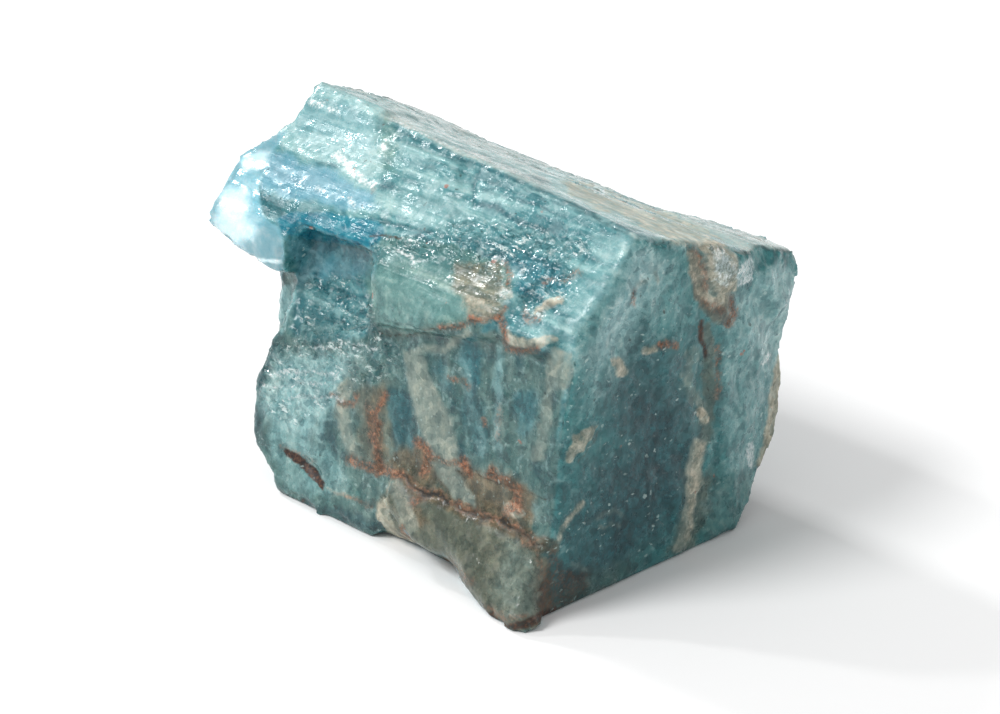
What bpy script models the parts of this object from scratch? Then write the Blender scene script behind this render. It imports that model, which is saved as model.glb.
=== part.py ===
"""Rough aquamarine: one broken hexagonal beryl prism, lying on a prism face.

The crystal's c axis runs along +X, Y is its depth and +Z is up.  It grew as
one piece, so it is one solid.  The solid is built as the stone formed: a core
prism, parallel columns and plates grown onto it, then breaks, recesses and
pits taken out of it, and last the relief of its growth and fracture faces.
Lengths are in millimetres until the finished mesh is scaled to metres.
"""

import math

import bmesh
import bpy
from mathutils import Vector, noise

NAME = "aquamarine_crystal"
MM = 0.001

# ---- driving dimensions, mm ------------------------------------------------

END_X = 25.6                    # the flat fractured end, across the c axis
FAR_X = -30.0                   # the columns start past the other, broken end
LEAN = 0.155                    # the front face leans back this much per mm of height

FRONT_FOOT = (-11.4, 0.0)       # the core's outline across the c axis, (Y, Z)
FRONT_EDGE = (-8.3, 20.0)
RIDGE = (-2.0, 26.2)
BACK_EDGE = (16.6, 18.9)
BACK_SIDE = (15.0, 6.4)
BACK_FOOT = (9.9, 0.0)
UNDER = -0.8                    # the columns reach this far below the resting plane
HEADROOM = 29.0                 # the core's outline before the top face is cleaved

VOXEL = 0.34                    # grid on which the pieces grow together
MAX_TRIANGLES = 9000            # of the finished solid

STRIA_DEPTH = 0.30              # relief along the c axis on the upper front slope
STRIA_DEPTH_SIDE = 0.15         # the same on the other prism faces
RIPPLE_DEPTH = 0.17             # upright ripples of the cleaved front face
BREAK_DEPTH = 0.22              # hummocks on the fractured ends
WANDER = 0.75                   # how far broken edges and ends stray from straight
CHIP_DEPTH = 0.42               # small facets in the crumbled zones
HUMMOCK_DEPTH = 0.10            # broad unevenness of every face

STRIA_WIDTH = 1.15              # how far apart the growth ridges stand
STRIA_REACH = 26.0              # how many widths a ridge runs before it fades
RIPPLE_SIZE = (2.4, 9.0, 11.0)  # width, depth and height of a ripple of the front face
RIPPLE_LEAN = 0.12              # the ripples lean this much with height
BREAK_SIZES = (4.2, 1.9)        # broad and fine hummocks of the fractured ends
HUMMOCK_SIZE = 6.5
CHIP_SIZE = 2.3
WANDER_SIZES = (5.5, 2.3)       # broad and fine straying of the broken edges
WANDER_HEIGHT_SIZE = 4.5
NOISE_PLACE = Vector((3.7, 1.9, 8.3))   # where in the endless noise the stone is taken from


# ---- solids from planes ----------------------------------------------------

def block(size=90.0):
    """A cube of rough, big enough to cleave any of the columns from."""
    bm = bmesh.new()
    bmesh.ops.create_cube(bm, size=size)
    return bm


def cleave(bm, point, normal):
    """Split the convex block at a plane and drop what lies on the normal's side."""
    geometry = bm.verts[:] + bm.edges[:] + bm.faces[:]
    cut = bmesh.ops.bisect_plane(bm, geom=geometry, dist=1e-5, plane_co=point,
                                 plane_no=normal, clear_outer=True)
    rim = [item for item in cut["geom_cut"] if isinstance(item, bmesh.types.BMEdge)]
    if rim:
        bmesh.ops.contextual_create(bm, geom=rim)


def cleave_outline(bm, outline):
    """Cleave the block to a convex (Y, Z) outline, listed clockwise seen from +X."""
    for (y0, z0), (y1, z1) in zip(outline, outline[1:] + outline[:1]):
        cleave(bm, Vector((0.0, y0, z0)), Vector((0.0, z0 - z1, y1 - y0)).normalized())


def column(name, collection, outline, x_from, x_to, cuts=()):
    """A column along the c axis with a convex outline, cleaved again by each cut."""
    bm = block()
    cleave_outline(bm, outline)
    cleave(bm, Vector((x_from, 0.0, 0.0)), Vector((-1.0, 0.0, 0.0)))
    cleave(bm, Vector((x_to, 0.0, 0.0)), Vector((1.0, 0.0, 0.0)))
    for point, normal in cuts:
        cleave(bm, Vector(point), Vector(normal).normalized())
    bmesh.ops.recalc_face_normals(bm, faces=bm.faces[:])
    mesh = bpy.data.meshes.new(name)
    bm.to_mesh(mesh)
    bm.free()
    obj = bpy.data.objects.new(name, mesh)
    collection.objects.link(obj)
    return obj


def pebble(name, collection, centre, radii, turn=(0.0, 0.0, 0.0)):
    """An ellipsoid, for lens-shaped pits and rounded lumps."""
    bm = bmesh.new()
    bmesh.ops.create_icosphere(bm, subdivisions=3, radius=1.0)
    mesh = bpy.data.meshes.new(name)
    bm.to_mesh(mesh)
    bm.free()
    obj = bpy.data.objects.new(name, mesh)
    obj.location = centre
    obj.scale = radii
    obj.rotation_euler = turn
    collection.objects.link(obj)
    return obj


def front_y(z):
    """Where the front face stands at a height."""
    return FRONT_FOOT[0] + LEAN * z


def slope_z(y, lift=0.0):
    """Height of the upper front slope at a depth, lifted square to the slope."""
    rise = (RIDGE[1] - FRONT_EDGE[1]) / (RIDGE[0] - FRONT_EDGE[0])
    return FRONT_EDGE[1] + rise * (y - FRONT_EDGE[0]) + lift * math.hypot(1.0, rise)


# ---- what grew -------------------------------------------------------------

# Planes that cleave the core: a point on the plane, and the way out of the stone.
TOP_NEAR_END = ((25.6, -2.0, 26.2), (0.062, 0.345, 0.936))
TOP_FAR = ((0.0, -0.6, 27.6), (0.028, 0.455, 0.890))
BROKEN_END = ((-5.8, -10.3, 7.0), (-0.90, -0.43, 0.04))
BROKEN_LOW = ((-6.1, -10.7, 3.4), (-0.70, -0.16, -0.69))
TURNED_STRIP = ((25.6, 8.0, 12.0), (0.97, 0.24, 0.0))
END_BEVEL = ((25.0, -5.3, 22.8), (0.72, -0.50, 0.48))
EDGE_BEVEL = ((12.0, -8.1, 19.6), (0.0, -0.93, 0.37))
REAR_BEVEL = ((24.4, 10.8, 1.4), (0.35, 0.72, -0.60))


def grow_core(grown):
    """The main prism between its flat fractured end and its slanting broken end."""
    outline = [(FRONT_FOOT[0] + LEAN * UNDER, UNDER), FRONT_EDGE, (0.8, slope_z(0.8)),
               (BACK_EDGE[0], HEADROOM), BACK_EDGE, BACK_SIDE, (BACK_FOOT[0], UNDER)]
    cuts = [TOP_NEAR_END, TOP_FAR, BROKEN_END, BROKEN_LOW, TURNED_STRIP, END_BEVEL, EDGE_BEVEL,
            REAR_BEVEL]
    return column("core", grown, outline, FAR_X, END_X, cuts)


def grow_crown(grown):
    """The smooth block at the far end of the ridge, and the shelf that follows it."""
    outline = [(-4.2, slope_z(-4.2, 0.3)), (-0.5, slope_z(-0.5, 0.3)), (13.0, 21.7),
               (12.0, 18.0), (-3.0, 20.0)]
    column("crown", grown, outline, -18.0, 3.0,
           [((-10.1, -3.6, 24.8), (-0.88, -0.15, 0.445)), ((-2.5, -0.5, 27.9), (0.83, 0.40, 0.39)),
            ((0.0, -0.4, 27.8), (0.035, 0.455, 0.890))])
    shelf = [(-5.6, slope_z(-5.6, 0.32)), (-2.0, slope_z(-2.0, 0.32)), (1.0, 24.0), (-4.0, 20.0)]
    column("shelf", grown, shelf, -1.6, 9.4, [((8.9, -3.8, 24.6), (0.92, 0.25, 0.20))])


def grow_tip(grown):
    """The clear gem column on the front edge, which overhangs the broken end."""
    outline = [(-9.4, 16.9), (-9.2, 19.3), (-4.2, slope_z(-4.2, 0.55)), (-3.2, 22.0), (-5.4, 16.2)]
    cuts = [((-12.8, -7.8, 18.8), (-0.95, -0.25, 0.16)), ((-11.4, -4.8, 23.6), (-0.62, 0.55, 0.50)),
            ((-4.4, -9.4, 14.6), (-0.40, 0.0, -0.92)), ((4.3, -6.0, 21.0), (0.95, 0.0, 0.30))]
    column("tip", grown, outline, -14.2, 5.0, cuts)
    root = [(-8.9, 14.6), (-8.8, 18.2), (-6.0, 20.0), (-4.0, 15.6)]
    column("tip_root", grown, root, -8.0, -4.6, [((-5.9, -9.0, 15.6), (-0.66, 0.0, -0.75))])


def grow_plate(grown):
    """The raised plate that wraps the front edge, with a ledge beside it."""
    proud = 1.3
    outline = [(front_y(14.6) - 0.2, 14.6), (front_y(15.6) - proud, 15.6),
               (front_y(18.6) - proud, 18.6), (front_y(20.4) - 0.9, 20.5),
               (-7.0, slope_z(-7.0, 0.55)), (-5.0, slope_z(-5.0, 0.25)), (-5.0, 14.6)]
    cuts = [((6.3, -9.0, 15.2), (-0.30, 0.0, -0.95)), ((5.6, -9.0, 18.0), (-0.93, -0.30, 0.0)),
            ((18.7, -8.6, 19.0), (0.95, -0.28, -0.10)), ((12.0, -9.4, 17.2), (0.20, 0.0, -0.98))]
    column("plate", grown, outline, 4.6, 19.6, cuts)
    ledge = [(front_y(18.5) - 0.3, 18.5), (front_y(18.9) - 0.9, 19.0), (front_y(19.8) - 0.8, 19.8),
             (-7.4, slope_z(-7.4, 0.12)), (-6.0, 18.5)]
    column("ledge", grown, ledge, 19.2, 23.8, [((19.6, -9.6, 18.0), (-0.9, -0.4, -0.1)),
                                               ((23.2, -9.4, 18.9), (0.75, -0.55, -0.35))])


def grow_lobe(grown):
    """The slab below the long crack of the front face, and the foot it stands on."""
    slab = [(front_y(1.5) - 0.5, 1.5), (front_y(2.2) - 1.4, 2.2), (front_y(4.4) - 1.1, 4.4),
            (front_y(6.0) - 0.2, 6.1), (-8.0, 6.2), (-8.0, 1.5)]
    column("slab", grown, slab, 8.6, END_X + 0.1,
           [((9.9, -11.4, 4.2), (-0.86, -0.50, -0.05)), ((25.2, -12.4, 2.0), (0.80, -0.60, 0.0)),
            ((12.0, -11.0, 6.1), (-0.10, 0.0, 0.99)), ((12.2, -12.4, 2.6), (-0.50, -0.50, -0.70))])
    foot = [(front_y(0.0) - 2.6, UNDER), (front_y(0.8) - 2.5, 0.8), (front_y(4.4) - 1.1, 4.4),
            (-8.0, 5.0), (-8.0, UNDER)]
    column("foot", grown, foot, 15.5, END_X + 0.1,
           [((17.2, -11.4, 0.0), (-0.34, -0.88, -0.30)), ((24.9, -14.0, 0.0), (0.80, -0.60, 0.0)),
            ((17.1, -12.2, 1.6), (-0.88, -0.25, -0.40))])
    pebble("toe", grown, (25.0, -12.7, 0.3), (1.5, 1.4, 1.8))


def grow_rear(grown):
    """Parallel columns of the far side and of the broken end."""
    ribs = [
        ("rib_top", [(13.6, 19.9), (17.5, 18.2), (16.9, 16.0), (14.2, 13.0)], -15.5, 24.4),
        ("rib_crest", [(11.0, 21.5), (16.7, 19.3), (17.1, 17.4), (13.0, 15.0)], 14.6, 25.5),
        ("rib_low", [(12.4, 2.4), (13.8, 2.6), (15.9, 6.8), (15.6, 8.6), (12.0, 8.6)], -15.0, 12.0),
        ("rib_end", [(7.0, 9.0), (9.5, 6.0), (13.5, 7.6), (14.6, 12.0), (12.0, 16.0), (8.0, 14.0)],
         -19.6, -10.0),
        ("rib_deep", [(-1.0, 4.0), (3.0, 0.9), (7.6, 2.4), (8.0, 6.0), (5.0, 8.4), (1.0, 8.0)],
         -14.4, -6.0),
        ("rib_high", [(-2.0, 15.0), (1.0, 11.6), (5.4, 13.2), (6.8, 17.4), (4.0, 20.6), (-1.0, 19.4)],
         -13.4, -6.0),
    ]
    for name, outline, x_from, x_to in ribs:
        corner = outline[0]
        tips = [((x_from + 0.8, corner[0], corner[1]), (-0.90, -0.36, 0.25)),
                ((x_to - 0.6, corner[0], corner[1]), (0.93, 0.30, 0.20))]
        column(name, grown, outline, x_from, x_to, tips)


def grow_flakes(grown):
    """Thin flakes left standing on the fractured end."""
    flakes = [
        # name, (Y, Z), half sizes across the end, turn about X in degrees
        ("flake_near", (-7.8, 12.4), (1.9, 0.75), 38.0),
        ("flake_top", (6.9, 21.2), (2.5, 1.9), -24.0),
        ("flake_strip", (4.9, 10.4), (0.8, 3.6), 6.0),
        ("flake_foot", (2.0, 5.4), (1.0, 3.2), 10.0),
    ]
    for name, (y, z), (half_y, half_z), turn in flakes:
        pebble(name, grown, (END_X - 0.25, y, z), (0.62, half_y, half_z), (math.radians(turn), 0, 0))


# ---- what broke away -------------------------------------------------------

def break_away(broken):
    """The recess under the tip, the notch, the pits and the scars of lost chips."""
    recess = [(-13.0, 12.8), (-13.0, 20.1), (front_y(20.0) + 1.3, 20.3), (front_y(19.0) + 2.5, 19.0),
              (front_y(16.0) + 2.3, 16.4), (front_y(13.0) + 0.3, 12.8)]
    column("recess", broken, recess, -3.8, 5.4, [((5.2, -9.0, 17.4), (0.97, 0.0, 0.24)),
                                                 ((0.0, -9.6, 13.2), (0.30, 0.0, -0.95))])
    scoop = [(-13.0, 8.2), (-13.0, 16.0), (-7.2, 16.4), (-6.8, 8.2)]
    column("scoop", broken, scoop, -14.0, -2.0, [((-5.8, -10.2, 8.2), (0.92, 0.22, -0.32))])
    notch = [(-13.0, 12.0), (-13.0, 14.8), (-7.9, 14.9), (-7.7, 12.4)]
    column("notch", broken, notch, -9.0, -4.2, [((-4.4, -9.0, 13.2), (0.90, -0.2, -0.40))])
    pebble("lens_pit", broken, (0.3, front_y(3.1) - 0.05, 3.1), (2.3, 0.75, 0.60),
           (0.0, math.radians(16.0), 0.0))
    pebble("end_scar", broken, (END_X + 0.5, -3.4, 19.4), (1.0, 2.4, 3.2), (math.radians(20.0), 0, 0))
    pebble("corner_scar", broken, (END_X - 0.2, 12.6, 20.8), (1.5, 2.0, 1.5))
    pebble("strip_scar", broken, (END_X - 0.4, 15.6, 13.0), (1.6, 1.2, 1.5))
    pebble("rear_scar", broken, (5.0, 18.4, 9.0), (7.5, 2.8, 3.9), (0.0, math.radians(12.0), 0.0))
    groove = [(3.2, 0.0), (4.6, 30.0), (6.2, 30.0), (8.9, 0.0)]
    column("strip_groove", broken, groove, END_X - 0.3, END_X + 2.0,
           [((END_X, 5.8, 14.0), (-0.80, 0.58, 0.10))])
    under = [(-14.0, -2.0), (-14.0, 1.5), (front_y(1.6), 1.6), (-9.9, 0.2), (-9.5, -2.0)]
    column("undercut", broken, under, 7.4, 16.8, [((7.8, -11.0, 0.6), (-0.85, -0.2, 0.4)),
                                                  ((16.8, -11.4, 0.5), (0.85, 0.3, 0.3))])


# ---- relief ----------------------------------------------------------------

def bulk_noise(point, scale):
    """Smooth noise of about unit size, with features of the given width in mm."""
    return noise.noise(point / scale + NOISE_PLACE)


def facets(point, scale):
    """Flat-faceted lumps: the rise to the nearest of scattered cell centres."""
    distances, _ = noise.voronoi(point / scale + NOISE_PLACE)
    return 0.5 - distances[0]


def stria(point, across):
    """Ridges along the c axis that fade in and out over some tens of widths."""
    place = Vector((point.x / (STRIA_REACH * STRIA_WIDTH), across / STRIA_WIDTH, 4.1))
    return noise.noise(place) + 0.5 * noise.noise(place * 2.3)


def near(value, centre, spread):
    """A soft window, one at the centre and small two spreads away."""
    return math.exp(-((value - centre) / spread) ** 2)


def crumbled(point):
    """How crumbled the skin is: around the plate, by the notch and along the front edge."""
    if point.y > -2.0:
        return 0.0
    around_plate = near(point.z, 21.8, 1.7) * near(point.x, 14.0, 8.0)
    by_the_notch = near(point.z, 11.2, 2.6) * near(point.x, 0.0, 5.5)
    broken_rim = near(point.x, -4.5, 2.0) * near(point.z, 8.0, 6.0)
    return min(1.0, around_plate + by_the_notch + broken_rim)


def relief(point, normal):
    """How far the skin stands out of the smooth form at a point, mm."""
    along = max(0.0, 1.0 - 1.6 * abs(normal.x))
    front = along * min(1.0, 4.0 * max(0.0, -normal.y - 0.68))
    across = point.y * normal.z - point.z * normal.y
    upper_slope = max(0.0, -0.7 * normal.y + 0.7 * normal.z) ** 4
    depth = STRIA_DEPTH_SIDE + (STRIA_DEPTH - STRIA_DEPTH_SIDE) * upper_slope
    height = along * (1.0 - front) * depth * stria(point, across)
    wide, deep, tall = RIPPLE_SIZE
    upright = Vector((point.x / wide + RIPPLE_LEAN * point.z, point.y / deep, point.z / tall))
    height += front * RIPPLE_DEPTH * noise.noise(upright)
    broad, fine = BREAK_SIZES
    height += (1.0 - along) * BREAK_DEPTH * (bulk_noise(point, broad) + 0.7 * bulk_noise(point, fine))
    height += HUMMOCK_DEPTH * bulk_noise(point, HUMMOCK_SIZE)
    height += CHIP_DEPTH * crumbled(point) * facets(point, CHIP_SIZE)
    return height


def wander(point):
    """How far broken edges stray from straight: mostly along the c axis, mm."""
    flat_end = 0.45 if point.x > END_X - 4.0 else 1.0
    broad, fine = WANDER_SIZES
    along = flat_end * WANDER * (bulk_noise(point, broad) + 0.5 * bulk_noise(point, fine))
    elsewhere = Vector((point.x + 31.0, 0.3 * point.y, point.z))
    upward = 0.45 * WANDER * bulk_noise(elsewhere, WANDER_HEIGHT_SIZE)
    return Vector((along, 0.0, upward * near(point.z, 13.0, 9.0)))


def add_relief(bm):
    """Stray the broken edges, then raise every vertex along its normal by the relief."""
    for vert in bm.verts:
        vert.co += wander(vert.co)
    bm.normal_update()
    moves = [(vert, vert.normal * relief(vert.co, vert.normal)) for vert in bm.verts]
    for vert, move in moves:
        vert.co += move


# ---- the one solid ---------------------------------------------------------

def new_collection(name):
    """A collection of the scene for one kind of pieces."""
    collection = bpy.data.collections.new(name)
    bpy.context.scene.collection.children.link(collection)
    return collection


def join_modifier(obj, operation, collection):
    """Join or cut the object with every piece of a collection."""
    modifier = obj.modifiers.new(operation.title(), "BOOLEAN")
    modifier.operation = operation
    modifier.operand_type = "COLLECTION"
    modifier.collection = collection
    modifier.solver = "EXACT"


def evaluated_mesh(obj):
    """The object's mesh with its modifiers carried out."""
    graph = bpy.context.evaluated_depsgraph_get()
    return bpy.data.meshes.new_from_object(obj.evaluated_get(graph))


def apply_modifiers(obj):
    """Put the evaluated mesh in place of the object's own."""
    obj.data = evaluated_mesh(obj)
    obj.modifiers.clear()


def aquamarine_material():
    """Sea-blue beryl, glossy and partly clear."""
    material = bpy.data.materials.new("aquamarine")
    material.use_nodes = True
    shader = material.node_tree.nodes["Principled BSDF"]
    shader.inputs["Base Color"].default_value = (0.115, 0.265, 0.305, 1.0)
    shader.inputs["Roughness"].default_value = 0.22
    shader.inputs["IOR"].default_value = 1.577
    shader.inputs["Transmission Weight"].default_value = 0.35
    return material


def build():
    """Grow, break, roughen, thin out and seat the crystal."""
    for obj in list(bpy.data.objects):
        bpy.data.objects.remove(obj)
    parts = new_collection(NAME)
    grown = new_collection("grown_onto_the_core")
    broken = new_collection("broken_away")

    crystal = grow_core(parts)
    crystal.name = NAME
    crystal.data.name = NAME
    for grow in (grow_crown, grow_tip, grow_plate, grow_lobe, grow_rear, grow_flakes):
        grow(grown)
    break_away(broken)
    for piece in list(grown.objects) + list(broken.objects):
        piece.hide_render = True
        piece.display_type = "WIRE"

    join_modifier(crystal, "UNION", grown)
    join_modifier(crystal, "DIFFERENCE", broken)
    merge = crystal.modifiers.new("Grow together", "REMESH")
    merge.mode = "VOXEL"
    merge.voxel_size = VOXEL
    apply_modifiers(crystal)

    bm = bmesh.new()
    bm.from_mesh(crystal.data)
    add_relief(bm)
    bm.to_mesh(crystal.data)
    bm.free()

    crystal.data.calc_loop_triangles()
    thin = crystal.modifiers.new("Thin out", "DECIMATE")
    thin.ratio = MAX_TRIANGLES / len(crystal.data.loop_triangles)
    apply_modifiers(crystal)

    bm = bmesh.new()
    bm.from_mesh(crystal.data)
    cleave(bm, Vector((0.0, 0.0, 0.0)), Vector((0.0, 0.0, -1.0)))
    bmesh.ops.triangulate(bm, faces=bm.faces[:])
    low = Vector([min(vert.co[axis] for vert in bm.verts) for axis in range(3)])
    high = Vector([max(vert.co[axis] for vert in bm.verts) for axis in range(3)])
    seat = Vector((-(low.x + high.x) / 2.0, -(low.y + high.y) / 2.0, -low.z))
    bmesh.ops.translate(bm, verts=bm.verts[:], vec=seat)
    bmesh.ops.scale(bm, verts=bm.verts[:], vec=Vector((MM, MM, MM)))
    bm.to_mesh(crystal.data)
    bm.free()
    crystal.data.materials.append(aquamarine_material())
    print("size mm", [round(value, 2) for value in high - low], "seat", [round(v, 3) for v in seat])


build()
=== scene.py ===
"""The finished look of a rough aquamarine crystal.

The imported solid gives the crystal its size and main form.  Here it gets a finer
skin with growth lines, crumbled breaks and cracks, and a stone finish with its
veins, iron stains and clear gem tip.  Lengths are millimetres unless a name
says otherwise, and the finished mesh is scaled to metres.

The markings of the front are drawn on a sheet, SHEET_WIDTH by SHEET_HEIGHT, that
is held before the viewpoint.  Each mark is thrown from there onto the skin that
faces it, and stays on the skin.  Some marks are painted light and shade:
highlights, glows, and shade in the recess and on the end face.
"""

from __future__ import annotations

import functools
import itertools
import logging
import math
from dataclasses import dataclass, field
from enum import Enum, IntEnum

import bmesh
import bpy
import numpy as np
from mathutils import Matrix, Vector
from mathutils.bvhtree import BVHTree


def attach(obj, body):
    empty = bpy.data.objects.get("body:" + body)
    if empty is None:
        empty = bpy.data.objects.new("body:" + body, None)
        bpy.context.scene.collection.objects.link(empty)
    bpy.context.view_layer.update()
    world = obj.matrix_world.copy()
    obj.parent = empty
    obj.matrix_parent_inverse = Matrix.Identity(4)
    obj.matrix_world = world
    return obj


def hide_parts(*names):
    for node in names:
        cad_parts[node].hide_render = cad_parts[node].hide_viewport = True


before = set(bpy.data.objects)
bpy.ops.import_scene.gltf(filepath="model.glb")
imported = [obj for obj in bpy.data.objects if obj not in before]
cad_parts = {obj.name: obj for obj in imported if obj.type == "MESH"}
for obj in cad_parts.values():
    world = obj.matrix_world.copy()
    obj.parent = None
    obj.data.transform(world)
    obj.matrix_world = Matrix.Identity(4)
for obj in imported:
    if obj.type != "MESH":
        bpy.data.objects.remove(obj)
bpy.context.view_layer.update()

LOG = logging.getLogger("aquamarine")

NODE = "aquamarine_crystal"
BODY = "root"
METRE = 1000.0
SHEET_WIDTH = 1000.0
SHEET_HEIGHT = 714.0
VERY_FAR = 1e6
NOTHING = 1e-9

Point = tuple[float, float]
Limits = tuple[float, float]
Triple = tuple[float, float, float]
Colour = tuple[float, float, float, float]
Stops = tuple[tuple[float, Colour], ...]
Array = np.ndarray
Socket = bpy.types.NodeSocket


def smooth_step(values: Array, low: float, high: float) -> Array:
    """Rises from 0 to 1 between two limits.

    Args:
        values: The numbers to grade.
        low: Where the rise starts.
        high: Where it ends.

    Returns:
        The graded numbers, from 0 to 1.
    """
    t = np.clip((values - low) / (high - low), 0.0, 1.0)
    return t * t * (3.0 - 2.0 * t)


def srgb(red: int, green: int, blue: int) -> Colour:
    """A colour named in everyday 0 to 255 steps, as the linear values that a shader takes."""

    def linear(step: int) -> float:
        """One channel, made linear."""
        c = step / 255.0
        return c / 12.92 if c <= 0.04045 else ((c + 0.055) / 1.055) ** 2.4

    return linear(red), linear(green), linear(blue), 1.0


# ---- where the stone is seen from ------------------------------------------


@dataclass(frozen=True)
class Viewpoint:
    """The place that the marked front is drawn from, and the camera there."""

    azimuth: float = 46.0
    elevation: float = 24.0
    lens: float = 135.0
    sensor: float = 36.0
    distance: float = 260.0
    foot: tuple[float, float, float] = (21.481, -15.11, 0.0)
    foot_on_sheet: Point = (520.0, 630.0)
    near_clip: float = 20.0
    far_clip: float = 9000.0

    @property
    def focal(self) -> float:
        """The lens's length in the sheet's units."""
        return self.lens / self.sensor * SHEET_WIDTH

    @property
    def back(self) -> Vector:
        """The way from the stone to the eye."""
        turn = math.radians(self.azimuth)
        rise = math.radians(self.elevation)
        level = math.cos(rise)
        return Vector((math.sin(turn) * level, -math.cos(turn) * level, math.sin(rise)))

    @property
    def right(self) -> Vector:
        """The sheet's right."""
        turn = math.radians(self.azimuth)
        return Vector((math.cos(turn), math.sin(turn), 0.0))

    @property
    def up(self) -> Vector:
        """The sheet's up."""
        return self.back.cross(self.right)

    @property
    def eye(self) -> Vector:
        """The eye's place, which puts the stone's foot where the sheet has it."""
        across = (self.foot_on_sheet[0] - SHEET_WIDTH / 2.0) / self.focal * self.distance
        down = (self.foot_on_sheet[1] - SHEET_HEIGHT / 2.0) / self.focal * self.distance
        return Vector(self.foot) + self.back * self.distance - self.right * across + self.up * down

    def on_sheet(self, points: Array) -> Array:
        """Throws points of the stone onto the sheet.

        Args:
            points: One row a point, in millimetres.

        Returns:
            One row a point: across from the left, down from the top.
        """
        away = points - np.array(self.eye)
        depth = -(away @ np.array(self.back))
        across = SHEET_WIDTH / 2.0 + self.focal * (away @ np.array(self.right)) / depth
        down = SHEET_HEIGHT / 2.0 - self.focal * (away @ np.array(self.up)) / depth
        return np.stack([across, down], axis=1)

    def make_camera(self) -> None:
        """Sets the scene's camera at the eye."""
        data = bpy.data.cameras.new("viewpoint")
        data.lens = self.lens
        data.sensor_width = self.sensor
        data.clip_start = self.near_clip / METRE
        data.clip_end = self.far_clip / METRE
        camera = bpy.data.objects.new("viewpoint", data)
        camera.location = self.eye / METRE
        camera.rotation_euler = self.back.to_track_quat("Z", "Y").to_euler()
        bpy.context.scene.collection.objects.link(camera)
        bpy.context.scene.camera = camera


# ---- repeatable irregularity -----------------------------------------------


class Draw(IntEnum):
    """Which independent set of random numbers each irregularity takes."""

    STRIA = 11
    STRIA_STRENGTH = 15
    RIPPLE = 21
    CRUMBS = 31
    MARK_DRIFT = 40
    SMALL_CRUMBS = 41
    FINE_MARK_DRIFT = 50
    GRAIN = 51
    EDGE_CHIPS = 61
    NICKS = 64
    HIDDEN_WARP = 70
    SHARDS = 71
    HIDDEN_VEINS = 80
    SLIVERS = 81
    HIDDEN_FIELDS = 84
    HIDDEN_RUST = 90
    HIDDEN_CRUMBS = 95
    HIDDEN_DEEP = 99
    HIDDEN_PALE = 103
    HIDDEN_MOSS = 107


class Irregular:
    """Noise that is worked out from a point's place, and so is the same in every run."""

    AXIS_PRIMES = (73856093, 19349663, 83492791)
    SALT_PRIME = 2654435761
    MIXERS = ((15, 2246822519), (13, 3266489917))
    LAST_SHIFT = 16
    WORD = 0xFFFFFFFF

    @classmethod
    def roll(cls, cells: Array, salt: int) -> Array:
        """A random number from 0 to 1 for each whole-numbered cell.

        Args:
            cells: One row a cell.
            salt: Which of many independent sets of numbers to use.

        Returns:
            One number a cell.
        """
        whole = cells.astype(np.int64).astype(np.uint64)
        word = np.uint64(cls.WORD)
        mixed = np.full(len(whole), salt * cls.SALT_PRIME % (cls.WORD + 1), dtype=np.uint64)
        for axis, prime in enumerate(cls.AXIS_PRIMES):
            mixed = mixed ^ (whole[:, axis] * np.uint64(prime))
        mixed = mixed & word
        for shift, factor in cls.MIXERS:
            mixed = ((mixed ^ (mixed >> np.uint64(shift))) * np.uint64(factor)) & word
        mixed = mixed ^ (mixed >> np.uint64(cls.LAST_SHIFT))
        return mixed.astype(np.float64) / cls.WORD

    @classmethod
    def cloud(cls, points: Array, size: Array | float, salt: int, octaves: int = 3) -> Array:
        """Soft billows.

        Args:
            points: One row a point.
            size: How far apart the biggest billows are, alike or for each axis.
            salt: Which set of billows.
            octaves: How many finer layers there are.

        Returns:
            One number a point, about 0 in the middle, from -1 to 1.
        """
        total = np.zeros(len(points))
        share = 1.0
        spread = 0.0
        for octave in range(octaves):
            place = points / size * 2.0**octave
            home = np.floor(place)
            part = place - home
            part = part * part * (3.0 - 2.0 * part)
            layer = np.zeros(len(points))
            for corner in itertools.product((0, 1), repeat=3):
                pull = np.prod(np.where(corner, part, 1.0 - part), axis=1)
                layer += pull * cls.roll(home + corner, salt + octave)
            total += share * (layer * 2.0 - 1.0)
            spread += share
            share *= 0.5
        return total / spread * 1.5

    @classmethod
    def drift(cls, points: Array, size: float, salt: int, octaves: int, ways: int) -> Array:
        """Clouds for two or three directions, one column each."""
        return np.stack([cls.cloud(points, size, salt + k, octaves) for k in range(ways)], axis=1)

    @classmethod
    def facets(cls, points: Array, size: Array | float, salt: int, step: float = 0.5) -> Array:
        """Small flat breaks that meet in steps.

        Args:
            points: One row a point.
            size: How far apart the breaks are, alike or for each axis.
            salt: Which set of breaks.
            step: How much one break stands above the next, next to how much they tilt.

        Returns:
            One height a point, about 0 in the middle, from -1 to 1.
        """
        place = points / size
        home = np.floor(place)
        nearest = np.full(len(points), VERY_FAR)
        height = np.zeros(len(points))
        for corner in itertools.product((-1, 0, 1), repeat=3):
            cell = home + corner
            seed = cell + np.stack([cls.roll(cell, salt + k) for k in range(3)], axis=1)
            gap = place - seed
            far = (gap * gap).sum(axis=1)
            closer = far < nearest
            tilt = np.stack([cls.roll(cell, salt + 3 + k) for k in range(3)], axis=1) * 2.0 - 1.0
            level = (gap * tilt).sum(axis=1) + step * (cls.roll(cell, salt + 6) * 2.0 - 1.0)
            nearest = np.where(closer, far, nearest)
            height = np.where(closer, level, height)
        return np.clip(height, -1.0, 1.0)


# ---- what is drawn on the stone --------------------------------------------


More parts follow.
